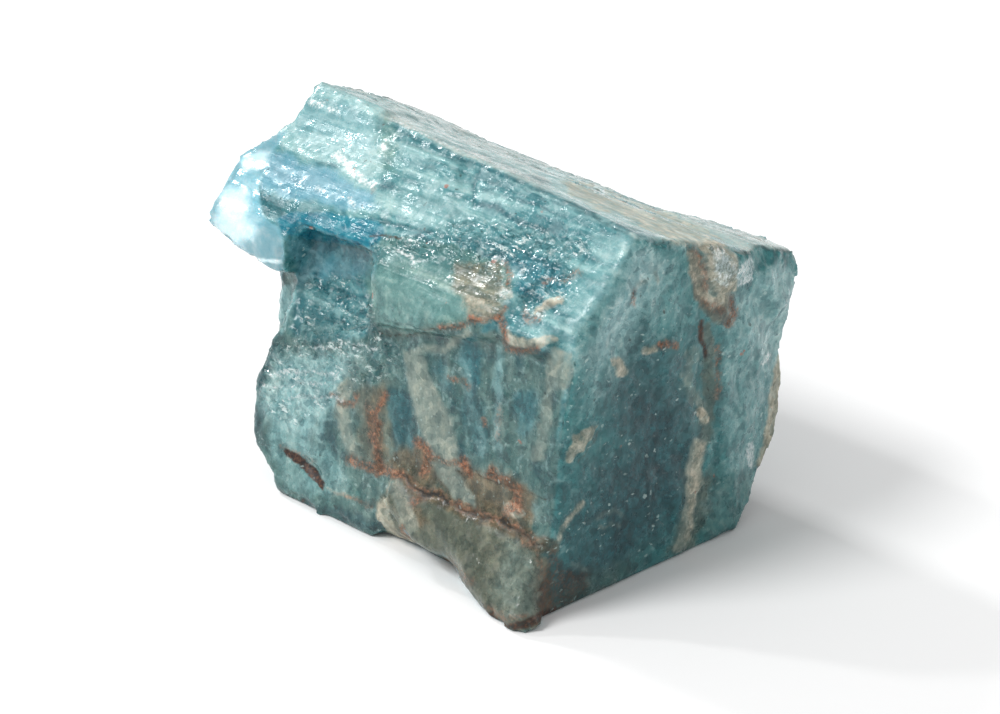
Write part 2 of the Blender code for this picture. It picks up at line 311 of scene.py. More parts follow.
class Tone(Enum):
    """What a mark does to the stone under it."""

    # The white tone and the glow are painted highlights and painted glow.  The shade tone is painted shade
    # on the end face, in the recess and on the underside, and darker grey-teal stone on the hidden sides.
    # Marks of the deep, pale and sky tones that are named for shade, shadow or light are painted shade and
    # light too.
    CREAM = "cream"
    CHALK = "chalk"
    RUST = "rust"
    STAIN = "stain"
    UMBER = "umber"
    DEEP = "deep"
    SHADE = "shade"
    PALE = "pale"
    SKY = "sky"
    BLUE = "blue"
    SEA = "sea"
    MOSS = "moss"
    GLINT = "glint"
    CLEAR = "clear"
    CRACK = "crack"
    # Painted highlights: glints, sparks and bright streaks, some of them on pale chips.
    WHITE = "white"
    GLOW = "glow"


class Zone(Enum):
    """Which face of the prism, or which part of its form, the skin belongs to."""

    SLOPE = "slope"
    TOP = "top"
    END = "end"
    EDGE = "edge"
    HOLLOW = "hollow"


def distance_to_line(places: Array, start: Point, end: Point) -> Array:
    """How far each place of the sheet is from a straight line between two points.

    Args:
        places: One row a place on the sheet.
        start: The line's start.
        end: The line's end.

    Returns:
        One distance a place.
    """
    along = np.array(end) - np.array(start)
    from_start = places - np.array(start)
    length = max(float(along @ along), NOTHING)
    gap = from_start - np.clip(from_start @ along / length, 0.0, 1.0)[:, None] * along
    return np.hypot(gap[:, 0], gap[:, 1])


@dataclass(frozen=True)
class Stroke:
    """A line with a breadth, drawn on the sheet."""

    tone: Tone
    name: str
    breadth: float
    strength: float
    run: tuple[Point, ...]
    wander: float = 2.0
    fade: float = 2.4

    def cover(self, places: Array) -> Array:
        """How much of the mark each place of the sheet has.

        Args:
            places: One row a place on the sheet.

        Returns:
            One number a place, from 0 to the stroke's strength.
        """
        far = np.full(len(places), VERY_FAR)
        for start, end in itertools.pairwise(self.run):
            far = np.minimum(far, distance_to_line(places, start, end))
        half = self.breadth / 2.0
        return self.strength * (1.0 - smooth_step(far, half - self.fade, half + self.fade))


@dataclass(frozen=True)
class Patch:
    """A filled outline, drawn on the sheet."""

    tone: Tone
    name: str
    strength: float
    outline: tuple[Point, ...]
    fade: float = 5.0
    wander: float = 5.0

    def cover(self, places: Array) -> Array:
        """How much of the mark each place of the sheet has.

        Args:
            places: One row a place on the sheet.

        Returns:
            One number a place, from 0 to the patch's strength.
        """
        far = np.full(len(places), VERY_FAR)
        inside = np.zeros(len(places), dtype=bool)
        closed = self.outline + self.outline[:1]
        for start, end in itertools.pairwise(closed):
            far = np.minimum(far, distance_to_line(places, start, end))
            if start[1] != end[1]:
                lean = (end[0] - start[0]) / (end[1] - start[1])
                reach = start[0] + (places[:, 1] - start[1]) * lean
                crossed = (places[:, 1] < start[1]) != (places[:, 1] < end[1])
                inside ^= crossed & (places[:, 0] < reach)
        depth = np.where(inside, far, -far)
        return self.strength * smooth_step(depth, -self.fade, self.fade)


Mark = Stroke | Patch


def rust(name: str, breadth: float, strength: float, *run: Point) -> Stroke:
    """A line of rust with the soft, wandering border that most of them have."""
    return Stroke(Tone.RUST, name, breadth, strength, run, 3.0, 4.0)


CROWN: tuple[Mark, ...] = (
    Patch(Tone.SKY, "crown's blue", 0.3, ((300, 100), (350, 96), (380, 120), (372, 160), (320, 150),
          (286, 134)), 14.0),
    Patch(Tone.PALE, "smooth crown", 0.68, ((322, 80), (350, 92), (388, 104), (384, 130), (379, 152),
          (386, 172), (370, 183), (338, 165), (300, 152), (279, 140), (281, 118), (298, 98), (308, 88))),
    Patch(Tone.SEA, "green cloud in the crown", 0.6, ((352, 108), (395, 112), (398, 172), (372, 176),
          (362, 160), (372, 140), (360, 122))),
    Stroke(Tone.DEEP, "crown crack", 4.0, 0.8, ((382, 118), (378, 132), (376, 150))),
    Stroke(Tone.DEEP, "crown seam", 3.0, 0.5, ((300, 128), (340, 143), (372, 154))),
    Stroke(Tone.WHITE, "crown spark", 6.0, 1.0, ((381, 146), (384, 149))),
    Stroke(Tone.WHITE, "crown bright chip", 7.0, 0.7, ((331, 108), (337, 111))),
    Stroke(Tone.WHITE, "crown corner chip", 9.0, 0.5, ((310, 101), (320, 103))),
    Stroke(Tone.PALE, "bright streak's haze", 14.0, 0.9, ((334, 153), (347, 168), (360, 177), (372, 184)),
           3.0, 5.0),
    Stroke(Tone.WHITE, "bright streak", 8.0, 0.95, ((337, 155), (347, 166)), 3.0, 4.0),
    Stroke(Tone.WHITE, "bright streak's end", 7.0, 0.95, ((353, 172), (364, 180), (371, 183)), 3.0, 4.0),
    Stroke(Tone.WHITE, "small spark", 6.0, 0.7, ((350, 200), (353, 203))),
    Stroke(Tone.WHITE, "smaller spark", 5.0, 0.6, ((317, 188), (320, 189))),
    rust("pink fleck", 4.5, 0.7, (371, 184), (370, 191)),
)

TIP: tuple[Mark, ...] = (
    Patch(Tone.CLEAR, "gem tip", 1.0, ((286, 132), (262, 134), (245, 146), (226, 160), (210, 175),
          (200, 200), (192, 225), (198, 240), (220, 252), (240, 270), (258, 290), (280, 296), (282, 262),
          (281, 229), (262, 214), (258, 190), (264, 170), (274, 152)), 4.0, 2.0),
    Patch(Tone.GLOW, "glow in the tip", 0.95, ((222, 190), (246, 186), (249, 204), (247, 216), (257, 229),
          (252, 242), (238, 241), (223, 232), (221, 214)), 10.0, 3.0),
    Patch(Tone.GLOW, "glow's upper arm", 0.75, ((236, 160), (250, 150), (271, 152), (266, 166),
          (256, 171), (242, 171)), 6.0, 2.0),
    Patch(Tone.GLOW, "glow's foot", 0.5, ((212, 214), (224, 212), (244, 240), (240, 250), (214, 238)),
          6.0),
    Patch(Tone.SKY, "tip's sky", 0.6, ((218, 176), (248, 166), (250, 190), (216, 196)), 7.0),
    Patch(Tone.SKY, "tip's lower facet", 0.12, ((260, 216), (280, 227), (280, 264), (258, 260),
          (258, 234)), 2.0, 2.0),
    Patch(Tone.SKY, "tip's root", 0.6, ((252, 266), (280, 266), (278, 292), (262, 284)), 3.0, 2.0),
    Patch(Tone.SKY, "tip's grey rim", 0.5, ((200, 228), (212, 232), (240, 246), (254, 262), (246, 268),
          (220, 250), (198, 240)), 3.0, 2.0),
    Patch(Tone.SKY, "lilac field", 0.95, ((262, 156), (290, 154), (330, 170), (374, 194), (372, 212),
          (340, 206), (300, 200), (262, 192)), 7.0),
    Patch(Tone.DEEP, "teal below the lilac", 0.5, ((266, 192), (300, 196), (336, 204), (340, 222),
          (300, 218), (264, 212)), 6.0),
    Patch(Tone.BLUE, "deep blue strip", 1.0, ((277, 220), (298, 211), (330, 212), (355, 218), (380, 223),
          (384, 238), (366, 247), (312, 240), (283, 232)), 3.0, 2.0),
    Stroke(Tone.DEEP, "blue shadow", 9.0, 0.7, ((300, 218), (330, 221)), 2.0, 4.0),
    Stroke(Tone.DEEP, "blue notch", 5.0, 0.9, ((342, 206), (344, 226)), 1.0),
    Patch(Tone.DEEP, "shadow behind the tip", 0.8, ((256, 206), (263, 186), (270, 188), (268, 202),
          (282, 212), (280, 222), (260, 212)), 2.5, 2.0),
    Patch(Tone.DEEP, "shade behind the glow", 0.45, ((250, 174), (266, 172), (266, 190), (258, 208),
          (250, 196)), 4.0, 2.0),
    Stroke(Tone.GLOW, "tip's lower edge", 4.0, 1.0, ((256, 260), (268, 262), (280, 263)), 1.0),
    Stroke(Tone.DEEP, "tip's speck", 4.0, 0.8, ((244, 243), (249, 246)), 1.0),
)

RECESS: tuple[Mark, ...] = (
    # Painted shade: the recess is darkened.
    Patch(Tone.DEEP, "recess", 0.18, ((278, 228), (300, 232), (312, 241), (365, 244), (381, 237),
          (376, 262), (364, 276), (352, 280), (330, 274), (300, 282), (281, 266)), 3.0, 3.0),
    Patch(Tone.SKY, "recess light", 0.5, ((282, 232), (376, 246), (372, 280), (300, 282), (288, 260)),
          8.0),
    Patch(Tone.SHADE, "recess crumbs' dark", 0.3, ((304, 282), (340, 284), (374, 300), (376, 336),
          (300, 340)), 10.0),
    Stroke(Tone.DEEP, "upright shadow", 10.0, 0.7, ((299, 272), (300, 300), (297, 332))),
    Patch(Tone.PALE, "pale sliver", 0.7, ((272, 288), (295, 282), (291, 312), (283, 334), (274, 315)),
          2.5, 2.0),
    Patch(Tone.GLINT, "recess crumbs", 0.9, ((304, 276), (362, 278), (372, 300), (376, 338), (298, 342),
          (303, 300))),
    Patch(Tone.DEEP, "recess crumbs' shade", 0.25, ((304, 276), (362, 278), (368, 300), (350, 320),
          (320, 312), (306, 300))),
    Stroke(Tone.DEEP, "long hairline", 3.5, 1.0, ((368, 219), (390, 224), (410, 228), (432, 233)), 1.5),
    Stroke(Tone.CRACK, "short hairline", 2.2, 0.9, ((370, 236), (385, 236), (402, 238)), 1.0),
)

SLOPE: tuple[Mark, ...] = (
    Stroke(Tone.WHITE, "ridge line", 3.0, 0.55, ((386, 117), (440, 141), (490, 161), (530, 178)), 1.5),
    Stroke(Tone.DEEP, "first groove", 5.0, 0.85, ((396, 128), (440, 149), (500, 173), (560, 199),
           (620, 226), (652, 240)), 2.0),
    Stroke(Tone.DEEP, "second groove", 4.0, 0.8, ((404, 141), (450, 158), (510, 183), (570, 209),
           (628, 234)), 2.0),
    Stroke(Tone.DEEP, "third groove", 3.0, 0.7, ((430, 160), (480, 179), (530, 198), (590, 222)), 2.0),
    Stroke(Tone.DEEP, "fourth groove", 4.0, 0.6, ((478, 190), (520, 201), (570, 217), (600, 232)), 2.0),
    Stroke(Tone.DEEP, "upper groove", 2.5, 0.7, ((430, 136), (480, 154), (540, 180), (600, 206),
           (640, 226)), 1.5),
    Stroke(Tone.PALE, "first crest", 2.5, 0.55, ((420, 147), (470, 165), (540, 194), (610, 226)), 1.5),
    Stroke(Tone.PALE, "second crest", 2.5, 0.5, ((412, 133), (470, 157), (540, 186), (620, 220)), 1.5),
    Patch(Tone.DEEP, "groove pool", 0.7, ((474, 166), (498, 168), (520, 184), (512, 190), (480, 180)),
          3.0, 3.0),
    Stroke(Tone.DEEP, "shelf's end", 4.0, 0.9, ((480, 172), (474, 186), (474, 206)), 1.5),
    Patch(Tone.PALE, "pale shelf", 0.55, ((374, 196), (400, 186), (440, 190), (473, 204), (470, 226),
          (440, 230), (410, 226), (384, 216)), 6.0),
    Stroke(Tone.DEEP, "shelf line", 2.5, 0.5, ((402, 160), (440, 174), (472, 186)), 2.0),
    Stroke(Tone.DEEP, "lower shelf line", 2.5, 0.45, ((395, 176), (430, 190), (466, 200)), 2.0),
    Stroke(Tone.PALE, "shelf crest", 3.0, 0.7, ((400, 168), (436, 183), (470, 194)), 2.0),
    Patch(Tone.GLINT, "crumbled slope", 0.9, ((430, 232), (478, 216), (540, 226), (582, 236), (590, 248),
          (578, 276), (560, 300), (544, 322), (522, 322), (514, 292), (514, 266), (480, 250), (440, 242)),
          9.0, 7.0),
    Patch(Tone.BLUE, "blue crumbs", 0.45, ((508, 250), (560, 262), (572, 290), (545, 302), (515, 296)),
          8.0),
    Stroke(Tone.RUST, "brown crumbs", 7.5, 0.5, ((545, 283), (562, 279), (579, 272)), 4.0, 4.0),
    # By the front edge the stone is milky, and the end face beside it, which the lamps leave in shade, is
    # made lighter with painted light.
    Patch(Tone.GLOW, "milk beyond the edge", 0.2, ((632, 248), (654, 250), (652, 272), (640, 302),
          (624, 334), (604, 356), (596, 336), (612, 300), (626, 272)), 9.0, 6.0),
    Patch(Tone.PALE, "milky corner", 0.45, ((596, 230), (650, 238), (652, 262), (640, 296), (618, 336),
          (594, 366), (562, 360), (562, 326), (580, 288), (590, 258)), 12.0, 7.0),
    Patch(Tone.PALE, "milky edge", 0.75, ((640, 248), (668, 256), (654, 298), (630, 338), (606, 368),
          (598, 352), (614, 318), (630, 284)), 9.0, 7.0),
    Patch(Tone.PALE, "ridge's light", 0.85, ((540, 166), (600, 182), (660, 204), (736, 244), (737, 262),
          (697, 254), (650, 236), (600, 214), (550, 192)), 5.0, 4.0),
    Patch(Tone.CHALK, "coated ridge", 0.6, ((556, 177), (600, 186), (650, 205), (700, 224), (737, 250),
          (736, 264), (697, 252), (650, 233), (612, 214), (570, 196)), 4.0, 4.0),
    Patch(Tone.PALE, "pale ridge", 0.6, ((330, 86), (385, 98), (432, 116), (500, 145), (560, 172),
          (570, 190), (500, 163), (440, 140), (385, 112)), 4.0, 4.0),
    Stroke(Tone.WHITE, "ridge spark", 6.0, 1.0, ((596, 190), (601, 192))),
)

PLATE: tuple[Mark, ...] = (
    Patch(Tone.SEA, "raised plate", 0.9, ((372, 246), (386, 238), (420, 240), (450, 245), (480, 254),
          (506, 262), (513, 288), (500, 318), (463, 326), (420, 335), (378, 334), (369, 300),
          (366, 270))),
    Patch(Tone.PALE, "plate's light", 0.28, ((376, 270), (410, 268), (440, 284), (470, 292), (474, 314),
          (420, 330), (380, 328), (372, 298)), 9.0),
    Patch(Tone.DEEP, "crumbled slope's shade", 0.6, ((440, 236), (540, 228), (574, 240), (570, 268),
          (546, 300), (524, 318), (516, 270), (480, 248)), 10.0),
    Patch(Tone.DEEP, "plate's upper shade", 0.45, ((372, 244), (420, 238), (462, 252), (480, 274),
          (440, 280), (408, 264), (374, 268)), 7.0),
    Stroke(Tone.GLINT, "plate's upper rim", 17.0, 1.0, ((376, 248), (400, 244), (430, 248), (460, 254),
           (486, 266), (500, 276)), 4.0),
    Stroke(Tone.WHITE, "plate's sparks", 5.0, 0.6, ((390, 252), (410, 256), (420, 262)), 6.0),
    Stroke(Tone.STAIN, "plate's foot halo", 9.0, 0.25, ((376, 332), (400, 335), (432, 330), (470, 320)),
           3.0, 4.0),
    Stroke(Tone.CRACK, "plate's foot", 2.2, 0.75, ((376, 331), (390, 336), (410, 334), (430, 331),
           (455, 329), (470, 321), (480, 321)), 2.0),
    Stroke(Tone.RUST, "plate's foot stain", 5.5, 0.8, ((440, 328), (458, 327), (477, 320)), 3.0, 3.5),
    Patch(Tone.CHALK, "plate's cream corner", 0.45, ((462, 300), (480, 296), (500, 300), (508, 308),
          (500, 320), (480, 321), (464, 318)), 6.0),
    rust("plate's stained corner", 6.0, 0.7, (470, 318), (484, 320), (498, 317), (505, 308)),
    Patch(Tone.STAIN, "plate's corner tinge", 0.6, ((470, 298), (500, 298), (506, 308), (500, 320),
          (478, 321), (466, 314)), 4.0),
    Patch(Tone.STAIN, "plate's tinge", 0.65, ((452, 262), (496, 262), (506, 300), (470, 304),
          (450, 290))),
    rust("plate's side", 5.0, 0.8, (504, 262), (509, 274), (508, 286)),
    Patch(Tone.CHALK, "white chip's body", 0.5, ((501, 285), (512, 287), (514, 297), (505, 301),
          (498, 294)), 1.5, 1.0),
    Patch(Tone.WHITE, "white chip", 0.4, ((501, 285), (512, 287), (514, 297), (505, 301), (498, 294)),
          1.5, 1.0),
    Patch(Tone.CHALK, "cream ledge", 0.66, ((507, 324), (514, 336), (532, 338), (555, 333), (560, 341),
          (542, 348), (515, 350), (506, 345)), 2.5, 2.0),
    Stroke(Tone.RUST, "ledge's rim", 6.0, 0.9, ((500, 318), (505, 334), (507, 349), (522, 352),
           (536, 349)), 1.5, 4.0),
    rust("orange lump", 7.5, 0.55, (525, 312), (532, 321), (542, 317)),
    Stroke(Tone.CHALK, "cream lump", 8.0, 0.9, ((538, 312), (551, 305), (560, 299))),
)

LEFT: tuple[Mark, ...] = (
    Patch(Tone.GLINT, "left crumbs", 1.0, ((268, 342), (300, 336), (375, 338), (402, 345), (402, 368),
          (362, 386), (332, 402), (300, 424), (262, 414), (256, 388))),
    Patch(Tone.PALE, "left light", 0.9, ((272, 356), (330, 352), (366, 354), (340, 384), (332, 412),
          (318, 440), (280, 436), (262, 412)), 16.0, 8.0),
    Stroke(Tone.SHADE, "left rim", 12.0, 0.45, ((272, 346), (262, 370), (256, 398), (259, 440))),
    Stroke(Tone.WHITE, "first bright line", 4.0, 0.7, ((270, 372), (300, 372), (336, 374)), 3.0),
    Stroke(Tone.WHITE, "second bright line", 3.5, 0.6, ((264, 386), (296, 384), (324, 383)), 3.0),
    Stroke(Tone.WHITE, "third bright line", 4.0, 0.6, ((290, 397), (318, 398), (341, 398)), 3.0),
    Stroke(Tone.WHITE, "upper bright line", 3.5, 0.6, ((310, 347), (345, 345), (376, 349)), 4.0),
    Patch(Tone.PALE, "lower left's light", 0.5, ((266, 432), (300, 436), (330, 450), (350, 474),
          (344, 500), (300, 496), (276, 478)), 8.0),
    Patch(Tone.SEA, "lower left", 0.5, ((262, 430), (300, 434), (330, 446), (352, 470), (366, 500),
          (342, 508), (300, 500), (274, 480), (260, 456)), 7.0),
    Patch(Tone.UMBER, "lens pit", 1.0, ((284, 450), (296, 453), (308, 460), (318, 470), (324, 484),
          (320, 491), (314, 483), (307, 473), (296, 464), (286, 458)), 1.6, 2.5),
    rust("lens pit's rim", 4.5, 0.5, (281, 447), (297, 453), (313, 462)),
    Stroke(Tone.CHALK, "lens pit's foot", 4.0, 0.5, ((326, 488), (336, 494), (350, 498)), 2.0),
    rust("pink hairline", 4.1, 0.6, (336, 495), (352, 499), (373, 508)),
    Stroke(Tone.UMBER, "lower edge", 3.5, 0.8, ((280, 497), (292, 501), (303, 502))),
    Patch(Tone.SHADE, "underside", 0.5, ((298, 503), (340, 509), (384, 520), (394, 538), (350, 528),
          (308, 514)), 3.0, 2.0),
)

FRONT: tuple[Mark, ...] = (
    Patch(Tone.CREAM, "great vein", 0.85, ((404, 351), (424, 356), (431, 377), (441, 398), (453, 421),
          (460, 454), (463, 469), (440, 466), (425, 446), (417, 416), (409, 385)), 3.0, 3.0),
    Stroke(Tone.CREAM, "great vein's head", 9.0, 0.75, ((410, 356), (424, 349), (444, 350), (456, 341),
           (466, 334)), 3.0, 4.0),
    Patch(Tone.CREAM, "great vein's foot", 0.8, ((430, 462), (452, 465), (464, 480), (476, 498),
          (475, 507), (457, 499), (440, 482)), 3.0, 3.0),
    Stroke(Tone.CREAM, "left vein", 13.0, 0.75, ((344, 386), (340, 408), (346, 434), (358, 458)), 4.0),
    Stroke(Tone.CREAM, "left vein's head", 15.0, 0.7, ((344, 392), (350, 384))),
    rust("left vein's stain", 6.0, 0.8, (330, 395), (342, 401), (353, 404), (358, 395)),
    Patch(Tone.STAIN, "stained field", 0.9, ((388, 448), (430, 452), (470, 462), (512, 478), (540, 500),
          (530, 530), (470, 506), (400, 478), (384, 466)), 9.0, 8.0),
    Patch(Tone.MOSS, "olive field", 0.7, ((356, 388), (386, 380), (392, 410), (388, 452), (366, 462),
          (356, 430)), 8.0, 6.0),
    Stroke(Tone.STAIN, "rust line's halo", 12.0, 0.7, ((380, 394), (374, 415), (377, 440), (380, 468)),
           3.0, 5.0),
    rust("rust line", 7.0, 1.0, (386, 394), (380, 404), (374, 414), (379, 424), (376, 438), (378, 454),
         (381, 472)),
    rust("rust line's side", 5.0, 0.7, (366, 404), (370, 420), (372, 440)),
    rust("rust band", 10.5, 0.75, (350, 459), (364, 464), (378, 469), (400, 477)),
    rust("red shoulder", 9.5, 0.85, (417, 443), (430, 455), (425, 474)),
    rust("red tie", 6.0, 0.7, (430, 455), (448, 461), (466, 463)),
    rust("red knot", 9.5, 0.9, (466, 460), (470, 474)),
    rust("red hook", 10.5, 0.75, (492, 474), (504, 480), (517, 491), (516, 509), (506, 512)),
    Stroke(Tone.CHALK, "pink patch", 12.0, 0.9, ((508, 510), (518, 514))),
    rust("pink patch's blush", 8.0, 0.55, (512, 506), (520, 513)),
    rust("first red spot", 6.5, 0.9, (491, 470), (492, 474)),
    rust("second red spot", 5.5, 0.7, (483, 420), (484, 424)),
    Stroke(Tone.RUST, "third red spot", 6.5, 0.5, ((501, 405), (500, 440)), 4.0, 4.0),
    rust("fourth red spot", 5.5, 0.8, (452, 377), (455, 379)),
    rust("fifth red spot", 5.5, 0.7, (463, 380), (469, 388)),
    Stroke(Tone.STAIN, "crack's stain", 16.0, 0.8, ((398, 476), (424, 493), (450, 503), (482, 515),
           (510, 526), (533, 542), (550, 548)), 3.0),
    Stroke(Tone.RUST, "crack's rust", 7.0, 0.75, ((398, 475), (424, 491), (450, 502), (482, 513),
           (508, 524), (534, 540)), 4.0, 4.0),
    Stroke(Tone.CRACK, "great crack", 2.8, 0.9, ((402, 477), (414, 484), (424, 493), (438, 497),
           (450, 503)), 3.5),
    Stroke(Tone.CRACK, "great crack's middle", 4.0, 1.0, ((424, 493), (438, 497), (446, 501)), 4.0),
    Stroke(Tone.CRACK, "great crack's right half", 2.4, 0.85, ((450, 503), (466, 509), (482, 515),
           (496, 519), (508, 525), (522, 533), (532, 541), (548, 547)), 3.5),
    Stroke(Tone.CRACK, "great crack's dark spot", 4.0, 0.9, ((500, 520), (510, 526)), 4.0),
    rust("crack's branch", 6.5, 0.8, (426, 492), (419, 499), (413, 503)),
    Stroke(Tone.CRACK, "upper crack", 2.4, 0.7, ((470, 466), (484, 477), (498, 483), (514, 489),
           (530, 495), (548, 498))),
    Stroke(Tone.CREAM, "right vein", 12.0, 0.6, ((556, 352), (550, 390), (545, 424), (538, 456)), 4.0),
    Patch(Tone.CREAM, "right vein's head", 0.6, ((556, 350), (572, 352), (579, 372), (574, 392),
          (558, 394), (552, 372)), 4.0),
    Stroke(Tone.PALE, "middle veil", 8.0, 0.5, ((496, 350), (500, 400), (498, 450)), 5.0),
    Stroke(Tone.PALE, "veil by the great vein", 7.0, 0.4, ((462, 345), (470, 400), (486, 452)), 5.0),
    Patch(Tone.DEEP, "first deep field", 0.8, ((460, 342), (474, 336), (484, 352), (482, 386), (470, 396),
          (464, 372)), 4.0),
    Patch(Tone.DEEP, "second deep field's green", 0.5, ((388, 388), (408, 386), (414, 416), (416, 450),
          (402, 456), (392, 440), (386, 412)), 4.0),
    Patch(Tone.SHADE, "second deep field", 0.35, ((388, 388), (408, 386), (414, 416), (416, 450),
          (402, 456), (392, 440), (386, 412)), 4.0),
    Patch(Tone.DEEP, "third deep field", 0.6, ((514, 392), (536, 390), (538, 420), (528, 446),
          (516, 430)), 5.0),
    Patch(Tone.DEEP, "fourth deep field", 0.5, ((430, 360), (448, 360), (456, 392), (446, 394)), 4.0),
    Patch(Tone.DEEP, "fifth deep field", 0.45, ((456, 396), (484, 400), (490, 456), (470, 452)), 6.0),
)

LOBE: tuple[Mark, ...] = (
    Patch(Tone.MOSS, "green lobe", 0.9, ((378, 500), (402, 480), (424, 495), (450, 506), (495, 522),
          (530, 542), (548, 560), (552, 600), (540, 632), (505, 636), (470, 612), (448, 585), (446, 558),
          (414, 548), (390, 536))),
    Stroke(Tone.CHALK, "pale bulge", 11.0, 0.85, ((384, 504), (384, 518), (394, 534), (408, 542)), 3.0),
    Stroke(Tone.STAIN, "lobe's shoulder stain", 16.0, 0.8, ((398, 490), (408, 510), (420, 524)), 5.0,
           5.0),
    Stroke(Tone.CHALK, "lobe's shoulder chalk", 12.0, 0.35, ((392, 486), (404, 504), (416, 526)), 5.0,
           5.0),
    Stroke(Tone.CREAM, "lobe's shoulder", 16.0, 0.6, ((396, 488), (404, 506), (412, 526))),
    Patch(Tone.PALE, "lobe's light", 0.2, ((506, 540), (530, 548), (540, 580), (534, 618), (506, 620),
          (492, 590)), 8.0),
    rust("lobe's red fleck", 5.5, 0.8, (402, 526), (407, 535)),
    Stroke(Tone.RUST, "lobe's side", 9.5, 0.4, ((450, 562), (458, 574), (470, 582)), 4.0, 4.0),
    Stroke(Tone.UMBER, "lobe's foot", 9.0, 0.75, ((464, 596), (486, 616), (504, 628), (530, 624),
           (552, 612)), 3.0),
    rust("lobe's foot stain", 6.5, 0.5, (486, 608), (505, 620), (528, 616)),
    rust("lobe's right rim", 5.0, 0.5, (520, 540), (536, 552), (545, 580), (541, 608)),
    Patch(Tone.UMBER, "brown corner", 0.55, ((546, 546), (562, 560), (592, 576), (588, 592), (560, 614),
          (538, 626), (534, 600), (543, 572)), 6.0),
)

